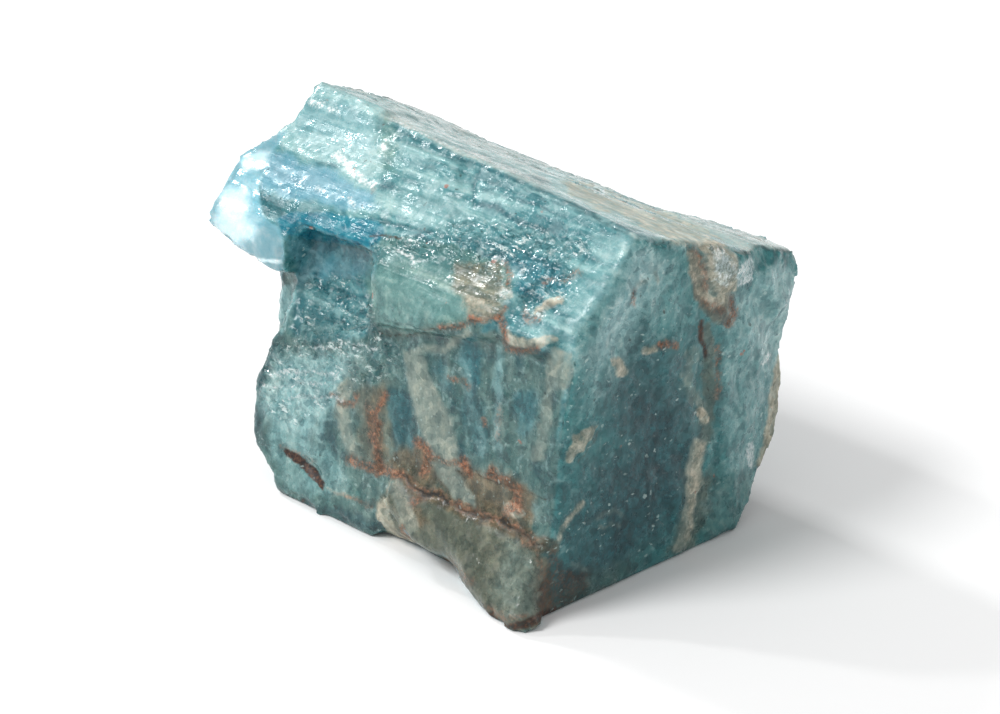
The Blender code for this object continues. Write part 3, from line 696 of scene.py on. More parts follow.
END_FACE: tuple[Mark, ...] = (
    Patch(Tone.PALE, "light by the front edge", 0.38, ((636, 246), (674, 256), (664, 300), (640, 345),
          (606, 396), (584, 420), (576, 372), (604, 334), (628, 290)), 15.0, 9.0),
    Patch(Tone.PALE, "light under the ridge", 0.25, ((650, 250), (694, 262), (696, 330), (660, 330),
          (640, 290)), 12.0, 8.0),
    Patch(Tone.PALE, "low right's light", 0.22, ((716, 460), (760, 466), (752, 516), (712, 536)), 8.0),
    Patch(Tone.MOSS, "low right's grey", 0.25, ((716, 460), (760, 470), (752, 520), (700, 548),
          (704, 500)), 8.0),
    Patch(Tone.MOSS, "dark foot", 0.5, ((552, 590), (600, 560), (640, 560), (620, 590), (560, 626)),
          12.0),
    Patch(Tone.SHADE, "dark field", 0.55, ((600, 330), (640, 326), (690, 350), (706, 430), (696, 520),
          (640, 562), (590, 592), (556, 600), (558, 520), (572, 470), (602, 440), (592, 400)), 24.0,
          10.0),
    Patch(Tone.SHADE, "darkest field", 0.5, ((632, 392), (684, 400), (680, 480), (646, 545), (590, 572),
          (600, 510), (636, 450)), 22.0, 10.0),
    Patch(Tone.PALE, "bright strip", 0.45, ((728, 296), (790, 300), (786, 360), (766, 440), (748, 470),
          (726, 470), (722, 400)), 8.0),
    Patch(Tone.PALE, "bright strip's upper part", 0.6, ((742, 286), (796, 280), (794, 340), (770, 352),
          (744, 340)), 8.0),
    Stroke(Tone.UMBER, "brown column", 6.0, 0.3, ((691, 256), (694, 272), (698, 292)), 5.0, 4.0),
    rust("brown column's edge", 6.5, 0.6, (694, 250), (703, 266), (706, 288)),
    Patch(Tone.CREAM, "cream corner", 0.85, ((699, 244), (716, 244), (738, 258), (738, 290), (722, 298),
          (710, 294), (704, 272)), 4.0, 4.0),
    Patch(Tone.WHITE, "cream corner's bright", 0.55, ((708, 246), (726, 250), (736, 262), (732, 284),
          (716, 284)), 4.0, 4.0),
    Patch(Tone.CHALK, "cream corner's light", 0.9, ((704, 244), (724, 248), (738, 260), (736, 290),
          (720, 294), (710, 282)), 5.0, 4.0),
    Patch(Tone.CHALK, "brown column's light", 0.6, ((688, 256), (698, 254), (706, 274), (708, 298),
          (698, 300), (692, 280)), 5.0, 4.0),
    Patch(Tone.STAIN, "brown column's body", 0.8, ((688, 254), (698, 252), (706, 272), (708, 298),
          (698, 300), (692, 280)), 3.0, 4.0),
    Patch(Tone.MOSS, "mottled block", 0.8, ((692, 282), (706, 296), (736, 293), (734, 326), (712, 322),
          (698, 304)), 3.0, 4.0),
    Patch(Tone.CHALK, "mottled block's tan", 0.7, ((704, 292), (730, 294), (728, 312), (708, 310)), 4.0,
          5.0),
    rust("block's edge", 6.5, 0.9, (732, 300), (733, 314), (728, 324)),
    Stroke(Tone.RUST, "block's heart", 8.5, 0.6, ((704, 300), (712, 308), (722, 312)), 4.0, 4.0),
    Stroke(Tone.UMBER, "upper hanging line", 6.0, 0.8, ((702, 322), (701, 338), (705, 356))),
    rust("lower hanging line", 6.5, 0.7, (718, 346), (720, 372), (716, 398)),
    Stroke(Tone.CREAM, "spotted column", 10.0, 0.5, ((692, 350), (690, 378), (694, 400), (704, 422)),
           6.0),
    Stroke(Tone.MOSS, "column's shade", 14.0, 0.6, ((708, 330), (710, 372), (706, 424), (696, 470)), 5.0),
    Patch(Tone.CHALK, "tan strip's light", 0.6, ((692, 440), (705, 442), (704, 470), (696, 500),
          (690, 536), (680, 546), (684, 510), (688, 470)), 3.0, 4.0),
    Patch(Tone.CREAM, "tan strip", 1.0, ((690, 438), (706, 440), (706, 462), (703, 482), (697, 500),
          (694, 522), (688, 546), (672, 552), (679, 528), (684, 500), (685, 465)), 2.5, 3.0),
    Patch(Tone.MOSS, "strip's shade", 0.6, ((684, 470), (712, 470), (706, 520), (694, 552), (664, 556),
          (678, 520)), 6.0),
    Stroke(Tone.CHALK, "round chip", 14.0, 0.75, ((617, 362), (621, 370))),
    Stroke(Tone.CHALK, "first chip", 8.0, 0.8, ((646, 351), (653, 348))),
    rust("red chip", 7.5, 0.9, (660, 345), (667, 341), (674, 346)),
    rust("first rust spot", 6.0, 0.9, (633, 292), (632, 304)),
    Stroke(Tone.CREAM, "second chip", 7.0, 0.6, ((637, 284), (645, 282))),
    Stroke(Tone.CREAM, "third chip", 6.0, 0.6, ((655, 272), (657, 280))),
    Stroke(Tone.CHALK, "fourth chip", 9.0, 0.9, ((698, 413), (704, 418))),
    Patch(Tone.CHALK, "scar chip", 0.7, ((600, 424), (594, 438), (585, 447), (577, 455), (571, 465),
          (565, 463), (566, 453), (572, 443), (570, 433), (577, 434), (582, 429), (591, 427)), 1.6, 2.5),
    Stroke(Tone.UMBER, "scar chip's shade", 3.0, 0.5, ((600, 432), (590, 446), (577, 462))),
    Patch(Tone.WHITE, "first clear chip", 0.6, ((736, 270), (750, 256), (757, 262), (752, 282),
          (738, 287)), 2.0, 2.0),
    Patch(Tone.PALE, "second clear chip", 0.8, ((757, 274), (780, 262), (796, 272), (793, 296),
          (770, 302), (757, 298)), 3.0, 3.0),
    Patch(Tone.PALE, "tan rim's light", 0.7, ((776, 344), (790, 366), (786, 400), (778, 430), (764, 430),
          (768, 400), (770, 374)), 3.0, 2.0),
    Patch(Tone.CHALK, "tan rim", 1.0, ((780, 352), (787, 370), (783, 400), (774, 440), (763, 470),
          (756, 466), (764, 430), (768, 400), (772, 374)), 3.0, 2.0),
    Stroke(Tone.WHITE, "upright spark", 7.0, 0.8, ((750, 444), (751, 464))),
    Stroke(Tone.WHITE, "rim spark", 6.0, 0.6, ((768, 354), (764, 362))),
    Stroke(Tone.CHALK, "long scratch", 6.0, 0.6, ((582, 503), (575, 512), (563, 528), (558, 541))),
    Stroke(Tone.CREAM, "scratches", 3.0, 0.5, ((596, 520), (606, 512), (616, 508), (624, 514)), 4.0),
    Stroke(Tone.CREAM, "lower scratches", 3.5, 0.5, ((600, 526), (612, 520), (620, 524)), 4.0),
    Stroke(Tone.CREAM, "foot's scratch", 6.0, 0.4, ((574, 562), (586, 572), (588, 586)), 3.0),
)

MARKS: tuple[Mark, ...] = CROWN + TIP + RECESS + SLOPE + PLATE + LEFT + FRONT + LOBE + END_FACE


# ---- the skin --------------------------------------------------------------


@dataclass
class CrystalSkin:
    """The crystal's surface, one closed mesh with its relief and its markings."""

    viewpoint: Viewpoint
    voxel: float = 0.40
    seen_from: float = -0.02
    seen_fully: float = 0.12
    slope_way: Triple = (0.0, -0.70, 0.713)
    end_way: Triple = (1.0, 0.0, 0.0)
    slope_limits: Limits = (0.80, 0.93)
    top_limits: Limits = (0.72, 0.88)
    end_limits: Limits = (0.50, 0.78)
    edge_limits: Limits = (0.012, 0.075)
    rim_limits: Limits = (0.08, 0.30)
    face_blur: int = 14
    edge_blur: int = 6
    rim_blur: int = 40
    glassy_blur: int = 16
    stria_depth: float = 0.085
    stria_spacing: float = 0.55
    ripple_depth: float = 0.05
    crumb_depth: float = 0.17
    crumb_size: Triple = (1.5, 0.8, 0.8)
    edge_chip_size: Triple = (1.8, 1.0, 1.0)
    smaller: float = 0.45
    grain_depth: float = 0.022
    edge_chip_depth: float = 0.22
    nick_depth: float = 0.40
    nick_size: float = 2.6
    crack_depth: float = 0.05
    vein_height: float = 0.06
    chip_height: float = 0.12
    groove_depth: float = 0.09
    shatter_depth: float = 0.055
    shatter_size: float = 1.5
    shadow_lift: float = 0.35
    hidden_vein_size: float = 9.0
    upper_part: Limits = (11.0, 15.0)
    tip_starts: Triple = (-11.5, -4.2, 14.2)
    points: Array = field(default_factory=lambda: np.zeros((0, 3)), repr=False)
    ways: Array = field(default_factory=lambda: np.zeros((0, 3)), repr=False)
    edges: Array = field(default_factory=lambda: np.zeros((0, 2), dtype=int), repr=False)
    faces: Array = field(default_factory=lambda: np.zeros((0, 3), dtype=int), repr=False)
    seen: Array = field(default_factory=lambda: np.zeros(0), repr=False)
    rims: Array = field(default_factory=lambda: np.zeros(0), repr=False)
    tones: dict[Tone, Array] = field(default_factory=dict, repr=False)
    zones: dict[Zone, Array] = field(default_factory=dict, repr=False)

    def build(self) -> bpy.types.Object:
        """Makes the skin.

        Returns:
            The finished object, in metres, with one attribute for each tone and zone.
        """
        skin = self._regrow()
        self._refine(skin)
        self._read(skin)
        self._relax(2)
        self._find_zones()
        self._throw_marks()
        self._mark_hidden_sides()
        self._raise_relief()
        self._write(skin)
        return skin

    def _regrow(self) -> bpy.types.Object:
        """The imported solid, copied and meshed again in even squares."""
        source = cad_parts[NODE]
        mesh = source.data.copy()
        mesh.name = "crystal_skin"
        mesh.materials.clear()
        skin = bpy.data.objects.new("crystal_skin", mesh)
        bpy.context.scene.collection.objects.link(skin)
        remesh = skin.modifiers.new("even squares", "REMESH")
        remesh.mode = "VOXEL"
        remesh.voxel_size = self.voxel / METRE
        graph = bpy.context.evaluated_depsgraph_get()
        even = bpy.data.meshes.new_from_object(skin.evaluated_get(graph))
        even.name = "crystal_skin"
        skin.modifiers.clear()
        skin.data = even
        bpy.data.meshes.remove(mesh)
        return skin

    def _refine(self, skin: bpy.types.Object) -> None:
        """Halves the squares that face the viewpoint, and makes all of them triangles."""
        eye = self.viewpoint.eye / METRE
        bm = bmesh.new()
        bm.from_mesh(skin.data)
        seen: set[bmesh.types.BMEdge] = set()
        for face in bm.faces:
            middle = face.calc_center_median()
            if face.normal.dot((eye - middle).normalized()) > self.seen_from:
                seen.update(face.edges)
        bmesh.ops.subdivide_edges(bm, edges=list(seen), cuts=1, use_grid_fill=True)
        bmesh.ops.triangulate(bm, faces=bm.faces[:])
        bm.to_mesh(skin.data)
        bm.free()

    def _read(self, skin: bpy.types.Object) -> None:
        """Takes the mesh's points and edges into arrays."""
        mesh = skin.data
        flat = np.zeros(len(mesh.vertices) * 3)
        mesh.vertices.foreach_get("co", flat)
        self.points = flat.reshape(-1, 3) * METRE
        pairs = np.zeros(len(mesh.edges) * 2, dtype=np.int64)
        mesh.edges.foreach_get("vertices", pairs)
        self.edges = pairs.reshape(-1, 2)
        corners = np.zeros(len(mesh.polygons) * 3, dtype=np.int64)
        mesh.polygons.foreach_get("vertices", corners)
        self.faces = corners.reshape(-1, 3)

    def _around(self, values: Array) -> Array:
        """The mean of each point's neighbours.

        Args:
            values: One number, or one row, a point.

        Returns:
            The means, in the same form.
        """
        count = len(self.points)
        start, end = self.edges[:, 0], self.edges[:, 1]
        shares = np.bincount(start, minlength=count) + np.bincount(end, minlength=count)
        columns = values.reshape(count, -1)
        means = [
            (np.bincount(start, c[end], count) + np.bincount(end, c[start], count)) / shares
            for c in columns.T
        ]
        return np.stack(means, axis=1).reshape(values.shape)

    def _blur(self, values: Array, times: int) -> Array:
        """Spreads values over the skin, once or more."""
        for _ in range(times):
            values = 0.5 * values + 0.5 * self._around(values)
        return values

    def _relax(self, times: int) -> None:
        """Takes the steps of the even squares out, without shrinking the stone."""
        for _ in range(times):
            for pull in (0.6, -0.62):
                self.points = self.points + pull * (self._around(self.points) - self.points)

    def _normals(self) -> Array:
        """The way out of the stone at each point."""
        a, b, c = (self.points[self.faces[:, k]] for k in range(3))
        tilt = np.cross(b - a, c - a)
        total = np.zeros_like(self.points)
        for k in range(3):
            for axis in range(3):
                total[:, axis] += np.bincount(self.faces[:, k], tilt[:, axis], len(self.points))
        return total / np.maximum(np.linalg.norm(total, axis=1, keepdims=True), NOTHING)

    def _find_zones(self) -> None:
        """Says how much each point belongs to each face of the prism."""
        self.ways = self._normals()
        broad = self._blur(self.ways, self.face_blur)
        broad /= np.linalg.norm(broad, axis=1, keepdims=True)
        slope = broad @ np.array(self.slope_way)
        end = broad @ np.array(self.end_way)
        upper = smooth_step(self.points[:, 2], *self.upper_part)
        not_end = 1.0 - smooth_step(end, 0.45, 0.75)
        not_slope = 1.0 - smooth_step(slope, 0.82, 0.93)
        by_end = smooth_step(end, 0.12, 0.35) * smooth_step(slope, 0.5, 0.7)
        sloping = np.maximum(smooth_step(slope, *self.slope_limits), by_end)
        self.zones[Zone.SLOPE] = sloping * not_end * upper
        self.zones[Zone.TOP] = smooth_step(broad[:, 2], *self.top_limits) * not_slope * upper
        self.zones[Zone.END] = smooth_step(end, *self.end_limits)
        bend = ((self.points - self._blur(self.points, self.edge_blur)) * broad).sum(axis=1)
        bend = self._blur(bend, 1)
        self.zones[Zone.EDGE] = smooth_step(bend, *self.edge_limits)
        self.zones[Zone.HOLLOW] = smooth_step(-bend, *self.edge_limits)
        sweep = ((self.points - self._blur(self.points, self.rim_blur)) * broad).sum(axis=1)
        self.rims = smooth_step(self._blur(sweep, 3), *self.rim_limits)

    def _seen(self) -> Array:
        """How far each point faces the viewpoint with nothing between, from 0 to 1."""
        eye = self.viewpoint.eye
        towards = np.array(eye) - self.points
        towards /= np.linalg.norm(towards, axis=1, keepdims=True)
        facing = (towards * self._blur(self.ways, 3)).sum(axis=1)
        facing = smooth_step(facing, self.seen_from, self.seen_fully)
        tree = BVHTree.FromPolygons(self.points.tolist(), self.faces.tolist())
        open_sky = np.zeros(len(self.points))
        starts = self.points + self.ways * self.shadow_lift
        for index in np.flatnonzero(facing > 0.0):
            hit = tree.ray_cast(Vector(starts[index]), Vector(towards[index]))
            open_sky[index] = hit[0] is None
        return facing * smooth_step(self._blur(open_sky, 2), 0.3, 0.8)

    def _throw_marks(self) -> None:
        """Throws every mark onto the skin that the viewpoint sees."""
        self.seen = self._seen()
        places = self.viewpoint.on_sheet(self.points)
        drift = Irregular.drift(self.points, 1.7, Draw.MARK_DRIFT, 3, 2)
        drift += 0.5 * Irregular.drift(self.points, 0.5, Draw.FINE_MARK_DRIFT, 2, 2)
        for tone in Tone:
            self.tones[tone] = np.zeros(len(self.points))
        for mark in MARKS:
            cover = mark.cover(places + drift * mark.wander) * self.seen
            so_far = self.tones[mark.tone]
            self.tones[mark.tone] = 1.0 - (1.0 - so_far) * (1.0 - cover)

    def _mark_hidden_sides(self) -> None:
        """Gives the sides that carry no drawn mark veins, stains and crumbs of their own."""
        hidden = 1.0 - self.seen
        p = self.points
        big = self.hidden_vein_size
        warp = Irregular.drift(p, big * 0.6, Draw.HIDDEN_WARP, 3, 3) * 2.2
        upright = np.array([0.45, 0.6, 2.4])
        vein = np.abs(Irregular.cloud(p + warp, upright * big * 0.5, Draw.HIDDEN_VEINS, 3))
        field_here = Irregular.cloud(p, big * 1.3, Draw.HIDDEN_FIELDS, 2)
        veins = (1.0 - smooth_step(vein, 0.03, 0.11)) * smooth_step(field_here, -0.25, 0.2)
        thread = np.abs(Irregular.cloud(p + warp, big * 0.8, Draw.HIDDEN_RUST, 3))
        rusts = (1.0 - smooth_step(thread, 0.012, 0.05)) * smooth_step(-field_here, -0.1, 0.3)
        crumbs = smooth_step(Irregular.cloud(p, big * 0.7, Draw.HIDDEN_CRUMBS, 2), 0.12, 0.32)
        deep = smooth_step(Irregular.cloud(p + warp, big, Draw.HIDDEN_DEEP, 3), 0.05, 0.5)
        pale = smooth_step(-Irregular.cloud(p + warp, big * 0.9, Draw.HIDDEN_PALE, 3), 0.1, 0.5)
        moss = smooth_step(Irregular.cloud(p + warp, big * 1.2, Draw.HIDDEN_MOSS, 2), 0.15, 0.5)
        past_x, past_y, past_z = (p - np.array(self.tip_starts)).T
        tip = smooth_step(-past_x, 0.0, 2.0) * smooth_step(-past_y, 0.0, 2.0)
        tip = tip * smooth_step(past_z, 0.0, 1.2)
        own = {
            Tone.CLEAR: tip,
            Tone.CREAM: 0.75 * veins,
            Tone.RUST: 0.9 * rusts,
            Tone.CRACK: smooth_step(rusts, 0.8, 1.0) * 0.7,
            Tone.GLINT: crumbs * (1.0 - self.zones[Zone.END]),
            Tone.SHADE: 0.55 * deep,
            Tone.PALE: 0.5 * pale,
            Tone.SKY: 0.35 * (1.0 - deep),
            Tone.MOSS: 0.4 * moss,
            Tone.STAIN: 0.8 * smooth_step(rusts, 0.0, 0.6),
        }
        for tone, cover in own.items():
            bare = 1.0 if tone is Tone.CLEAR else 1.0 - tip
            self.tones[tone] = 1.0 - (1.0 - self.tones[tone]) * (1.0 - cover * hidden * bare)

    def _raise_relief(self) -> None:
        """Moves the points in and out: growth lines, crumbs, chips, cracks and grain."""
        p = self.points
        slope, end = self.zones[Zone.SLOPE], self.zones[Zone.END]
        glint, clear = self.tones[Tone.GLINT], self.tones[Tone.CLEAR]
        glassy = np.maximum(clear, 0.8 * np.maximum(self.tones[Tone.SKY], self.tones[Tone.BLUE]))
        glassy = np.maximum(glassy, 0.6 * self.tones[Tone.PALE] * slope)
        calm = (1.0 - 0.85 * glint) * (1.0 - end) * (1.0 - glassy)
        p = p + glassy[:, None] * (self._blur(p, self.glassy_blur) - p)
        long_way = np.array([22.0, 1.0, 1.0])
        lines = Irregular.cloud(p, long_way * self.stria_spacing, Draw.STRIA, 3)
        strength = Irregular.cloud(p, np.array([9.0, 4.0, 4.0]), Draw.STRIA_STRENGTH, 2)
        strength = 0.45 + 0.75 * smooth_step(strength, -0.4, 0.4)
        lengthwise = np.maximum(slope, 0.4 * self.zones[Zone.TOP])
        move = self.stria_depth * lines * strength * calm * (0.35 + 0.65 * lengthwise)
        upright = np.array([1.0, 1.0, 9.0])
        ripple = Irregular.cloud(p, upright * 0.9, Draw.RIPPLE, 3)
        move += self.ripple_depth * ripple * (1.0 - slope) * (1.0 - self.zones[Zone.TOP]) * (1.0 - glint)
        crumbs = Irregular.facets(p, np.array(self.crumb_size), Draw.CRUMBS, 0.6)
        small = Irregular.facets(p, np.array(self.crumb_size) * self.smaller, Draw.SMALL_CRUMBS, 0.8)
        move += self.crumb_depth * glint * (0.65 * crumbs + 0.45 * small)
        shards = Irregular.facets(p, self.shatter_size, Draw.SHARDS, 0.6)
        slivers = Irregular.facets(p, self.shatter_size * self.smaller, Draw.SLIVERS, 0.8)
        broken = (1.0 - slope) * (1.0 - self.zones[Zone.TOP]) * (1.0 - glint) * (1.0 - glassy)
        broken = broken * (1.0 - 0.8 * self.tones[Tone.MOSS])
        move += self.shatter_depth * broken * (0.4 + 0.6 * end) * (shards + 0.6 * slivers)
        move += self.grain_depth * Irregular.cloud(p, 0.55, Draw.GRAIN, 2) * (1.0 - clear)
        chips = Irregular.facets(p, np.array(self.edge_chip_size), Draw.EDGE_CHIPS, 0.7)
        move -= self.edge_chip_depth * self.zones[Zone.EDGE] * smooth_step(chips, -0.1, 0.7)
        nicks = Irregular.facets(p, self.nick_size, Draw.NICKS, 0.8)
        move -= self.nick_depth * self.rims * smooth_step(nicks, 0.0, 0.8) * (1.0 - clear)
        move -= self.crack_depth * self.tones[Tone.CRACK]
        move -= self.groove_depth * self.tones[Tone.DEEP] * slope
        move += self.vein_height * self.tones[Tone.CREAM] + self.chip_height * self.tones[Tone.CHALK] ** 2
        standing = smooth_step(p[:, 2], 0.05, 0.6)
        self.points = p + self.ways * (move * standing)[:, None]
        self.points[:, 2] = np.maximum(self.points[:, 2], 0.0)

    def _write(self, skin: bpy.types.Object) -> None:
        """Puts the points and the markings back into the mesh."""
        mesh = skin.data
        mesh.vertices.foreach_set("co", (self.points / METRE).ravel())
        for key, values in list(self.tones.items()) + list(self.zones.items()):
            layer = mesh.attributes.new(key.value, "FLOAT", "POINT")
            layer.data.foreach_set("value", np.clip(values, 0.0, 1.0).astype(np.float32))
        crisp = self.tones[Tone.GLINT][self.faces].mean(axis=1) > 0.55
        mesh.polygons.foreach_set("use_smooth", ~crisp)
        mesh.update()
        LOG.info("skin: %d triangles", len(mesh.polygons))


# ---- the finish ------------------------------------------------------------


class Graph:
    """A material's nodes, with one short call for each kind that the finish uses."""

    def __init__(self, material: bpy.types.Material) -> None:
        """Starts an empty tree.

        Args:
            material: The material whose tree is built.
        """
        self.tree = material.node_tree
        self.tree.nodes.clear()

    def node(self, kind: str, **settings: object) -> bpy.types.ShaderNode:
        """Adds a node and sets its own values.

        Args:
            kind: Blender's name for the node.
            **settings: The node's properties.

        Returns:
            The node.
        """
        made = self.tree.nodes.new(kind)
        for key, value in settings.items():
            setattr(made, key, value)
        return made

    def feed(self, socket: Socket, source: Socket | float | tuple[float, ...]) -> None:
        """Gives an input a link or a plain value."""
        if isinstance(source, bpy.types.NodeSocket):
            self.tree.links.new(source, socket)
        else:
            socket.default_value = source

    def mask(self, key: Tone | Zone) -> Socket:
        """A tone or zone of the skin."""
        return self.node("ShaderNodeAttribute", attribute_name=key.value).outputs["Fac"]

    def maths(self, how: str, a: Socket | float, b: Socket | float = 0.0, clamp: bool = False) -> Socket:
        """One sum on two numbers.

        Args:
            how: Blender's name for the sum.
            a: The first number.
            b: The second number.
            clamp: Whether the result is kept from 0 to 1.

        Returns:
            The result.
        """
        made = self.node("ShaderNodeMath", operation=how, use_clamp=clamp)
        self.feed(made.inputs[0], a)
        self.feed(made.inputs[1], b)
        return made.outputs[0]

    def times(self, *numbers: Socket | float) -> Socket:
        """The product of two numbers or more."""
        return functools.reduce(lambda a, b: self.maths("MULTIPLY", a, b), numbers)

    def most(self, *numbers: Socket | float) -> Socket:
        """The largest of two numbers or more."""
        return functools.reduce(lambda a, b: self.maths("MAXIMUM", a, b), numbers)

    def rest(self, share: Socket) -> Socket:
        """What a share leaves of 1, and no less than 0."""
        return self.maths("SUBTRACT", 1.0, share, True)

    def graded(self, value: Socket, low: float, high: float, start: float = 0.0, end: float = 1.0) -> Socket:
        """A number's smooth rise from start to end between two limits."""
        made = self.node("ShaderNodeMapRange", interpolation_type="SMOOTHSTEP", clamp=True)
        self.feed(made.inputs[0], value)
        for slot, number in zip((1, 2, 3, 4), (low, high, start, end)):
            made.inputs[slot].default_value = number
        return made.outputs[0]

    def mixed(self, share: Socket | float, a: Socket | tuple, b: Socket | tuple, how: str = "MIX") -> Socket:
        """Two colours, mixed.

        Args:
            share: How much of the second.
            a: The first colour.
            b: The second colour.
            how: Blender's name for the way of mixing.

        Returns:
            The mixed colour.
        """
        made = self.node("ShaderNodeMix", data_type="RGBA", blend_type=how)
        self.feed(made.inputs[0], share)
        self.feed(made.inputs[6], a)
        self.feed(made.inputs[7], b)
        return made.outputs[2]

    def blend(self, share: Socket | float, a: Socket | float, b: Socket | float) -> Socket:
        """Two numbers, mixed by a share of the second."""
        made = self.node("ShaderNodeMix", data_type="FLOAT")
        for slot, source in zip((0, 2, 3), (share, a, b)):
            self.feed(made.inputs[slot], source)
        return made.outputs[0]

    def stretched(self, place: Socket, scale: Triple) -> Socket:
        """A place whose axes are scaled, for textures that run one way."""
        made = self.node("ShaderNodeMapping", vector_type="POINT")
        self.feed(made.inputs["Vector"], place)
        made.inputs["Scale"].default_value = scale
        return made.outputs[0]

    def noise(self, place: Socket, scale: float, detail: float = 4.0, rough: float = 0.55) -> Socket:
        """Soft noise from 0 to 1."""
        made = self.node("ShaderNodeTexNoise", noise_dimensions="3D")
        self.feed(made.inputs["Vector"], place)
        made.inputs["Scale"].default_value = scale
        made.inputs["Detail"].default_value = detail
        made.inputs["Roughness"].default_value = rough
        return made.outputs["Fac"]

    def warped(self, place: Socket, scale: float, by: float) -> Socket:
        """A place pushed about by noise.

        Args:
            place: The place.
            scale: How fine the noise is.
            by: How far it pushes, in millimetres.

        Returns:
            The pushed place.
        """
        made = self.node("ShaderNodeTexNoise", noise_dimensions="3D")
        self.feed(made.inputs["Vector"], place)
        made.inputs["Scale"].default_value = scale
        made.inputs["Detail"].default_value = 2.0
        centred = self.node("ShaderNodeVectorMath", operation="SUBTRACT")
        self.feed(centred.inputs[0], made.outputs["Color"])
        centred.inputs[1].default_value = (0.5, 0.5, 0.5)
        pushed = self.node("ShaderNodeVectorMath", operation="MULTIPLY_ADD")
        self.feed(pushed.inputs[0], centred.outputs[0])
        pushed.inputs[1].default_value = (by, by, by)
        self.feed(pushed.inputs[2], place)
        return pushed.outputs[0]

    def cells(self, place: Socket, scale: float, feature: str = "F1") -> bpy.types.ShaderNode:
        """A cell texture."""
        made = self.node("ShaderNodeTexVoronoi", voronoi_dimensions="3D", feature=feature)
        self.feed(made.inputs["Vector"], place)
        made.inputs["Scale"].default_value = scale
        return made

    def flecks(self, place: Socket, scale: float, radius: float, share: float) -> Socket:
        """Small scattered spots.

        Args:
            place: Where, in millimetres.
            scale: Cells a millimetre.
            radius: A spot's radius, next to its cell.
            share: How many of the cells hold a spot.

        Returns:
            1 in a spot and 0 between spots.
        """
        grid = self.cells(place, scale)
        chosen = self.node("ShaderNodeSeparateColor")
        self.feed(chosen.inputs[0], grid.outputs["Color"])
        held = self.graded(chosen.outputs[0], 1.0 - share - 0.01, 1.0 - share)
        size = self.maths("ADD", self.times(chosen.outputs[1], radius), radius * 0.4)
        spot = self.maths("SUBTRACT", size, grid.outputs["Distance"])
        return self.times(self.graded(spot, 0.0, 0.08), held)

    def ramp(self, value: Socket, stops: Stops) -> Socket:
        """A number turned to a colour.

        Args:
            value: The number.
            stops: Where each colour stands, and the colour.

        Returns:
            The colour.
        """
        made = self.node("ShaderNodeValToRGB")
        band = made.color_ramp
        while len(band.elements) < len(stops):
            band.elements.new(0.5)
        for element, (place, colour) in zip(band.elements, stops):
            element.position = place
            element.color = colour
        self.feed(made.inputs[0], value)
        return made.outputs[0]


@dataclass(frozen=True)
class Wash:
    """How one tone colours the stone under it."""

    tone: Tone
    dark: Colour
    middle: Colour
    light: Colour
    body: float
    haze: float
    ragged: float
    soft: float
    thin: bool = False
    spotted: bool = False


WASHES: tuple[Wash, ...] = (
    Wash(Tone.SEA, srgb(70, 116, 112), srgb(98, 142, 136), srgb(146, 178, 166), 0.6, 0.4, 0.9, 0.45),
    Wash(Tone.MOSS, srgb(80, 86, 72), srgb(106, 109, 94), srgb(134, 135, 116), 0.6, 0.4, 0.7, 0.45),
    Wash(Tone.SHADE, srgb(2, 44, 53), srgb(10, 66, 76), srgb(40, 104, 112), 0.5, 0.5, 0.7, 0.48),
    Wash(Tone.DEEP, srgb(24, 84, 92), srgb(46, 111, 119), srgb(90, 145, 151), 0.6, 0.4, 0.8, 0.42),
    Wash(Tone.PALE, srgb(126, 174, 176), srgb(154, 196, 196), srgb(194, 222, 218), 0.55, 0.4, 0.9, 0.45),
    Wash(Tone.SKY, srgb(76, 138, 156), srgb(104, 162, 179), srgb(138, 188, 202), 0.65, 0.35, 0.5, 0.45),
    Wash(Tone.BLUE, srgb(8, 98, 120), srgb(24, 124, 143), srgb(66, 154, 168), 0.8, 0.2, 0.4, 0.42),
    Wash(Tone.STAIN, srgb(76, 62, 42), srgb(110, 90, 63), srgb(152, 130, 100), 0.35, 0.5, 1.2, 0.48),
    Wash(Tone.CREAM, srgb(118, 132, 124), srgb(144, 154, 144), srgb(176, 178, 162), 0.6, 0.36, 0.8, 0.45),
    Wash(Tone.CHALK, srgb(138, 134, 118), srgb(184, 176, 156), srgb(226, 218, 200), 0.75, 0.2, 1.3, 0.36),
    Wash(Tone.RUST, srgb(66, 42, 32), srgb(124, 80, 57), srgb(174, 122, 94), 0.75, 0.32, 1.6, 0.46, True,
         True),
    Wash(Tone.UMBER, srgb(34, 22, 20), srgb(66, 42, 34), srgb(108, 76, 58), 0.9, 0.1, 0.8, 0.36, True),
    Wash(Tone.CRACK, srgb(16, 18, 14), srgb(36, 30, 20), srgb(88, 66, 40), 0.92, 0.05, 1.2, 0.3, True),
    # Colours of the painted highlights.
    Wash(Tone.WHITE, srgb(176, 204, 204), srgb(216, 230, 228), srgb(252, 253, 252), 0.85, 0.15, 1.5, 0.34,
         True),
    Wash(Tone.CLEAR, srgb(132, 202, 218), srgb(160, 218, 232), srgb(200, 238, 247), 0.9, 0.1, 0.2, 0.45),
    Wash(Tone.GLOW, srgb(206, 238, 246), srgb(226, 248, 252), srgb(246, 254, 255), 0.6, 0.4, 0.5, 0.5),
)


@dataclass(frozen=True)
class Specks:
    """Tiny scattered spots of one colour, which a noise lets through in places."""

    colour: Colour
    stretch: Triple
    scale: float
    radius: float
    share: float
    gate: tuple[float, float, float, float]


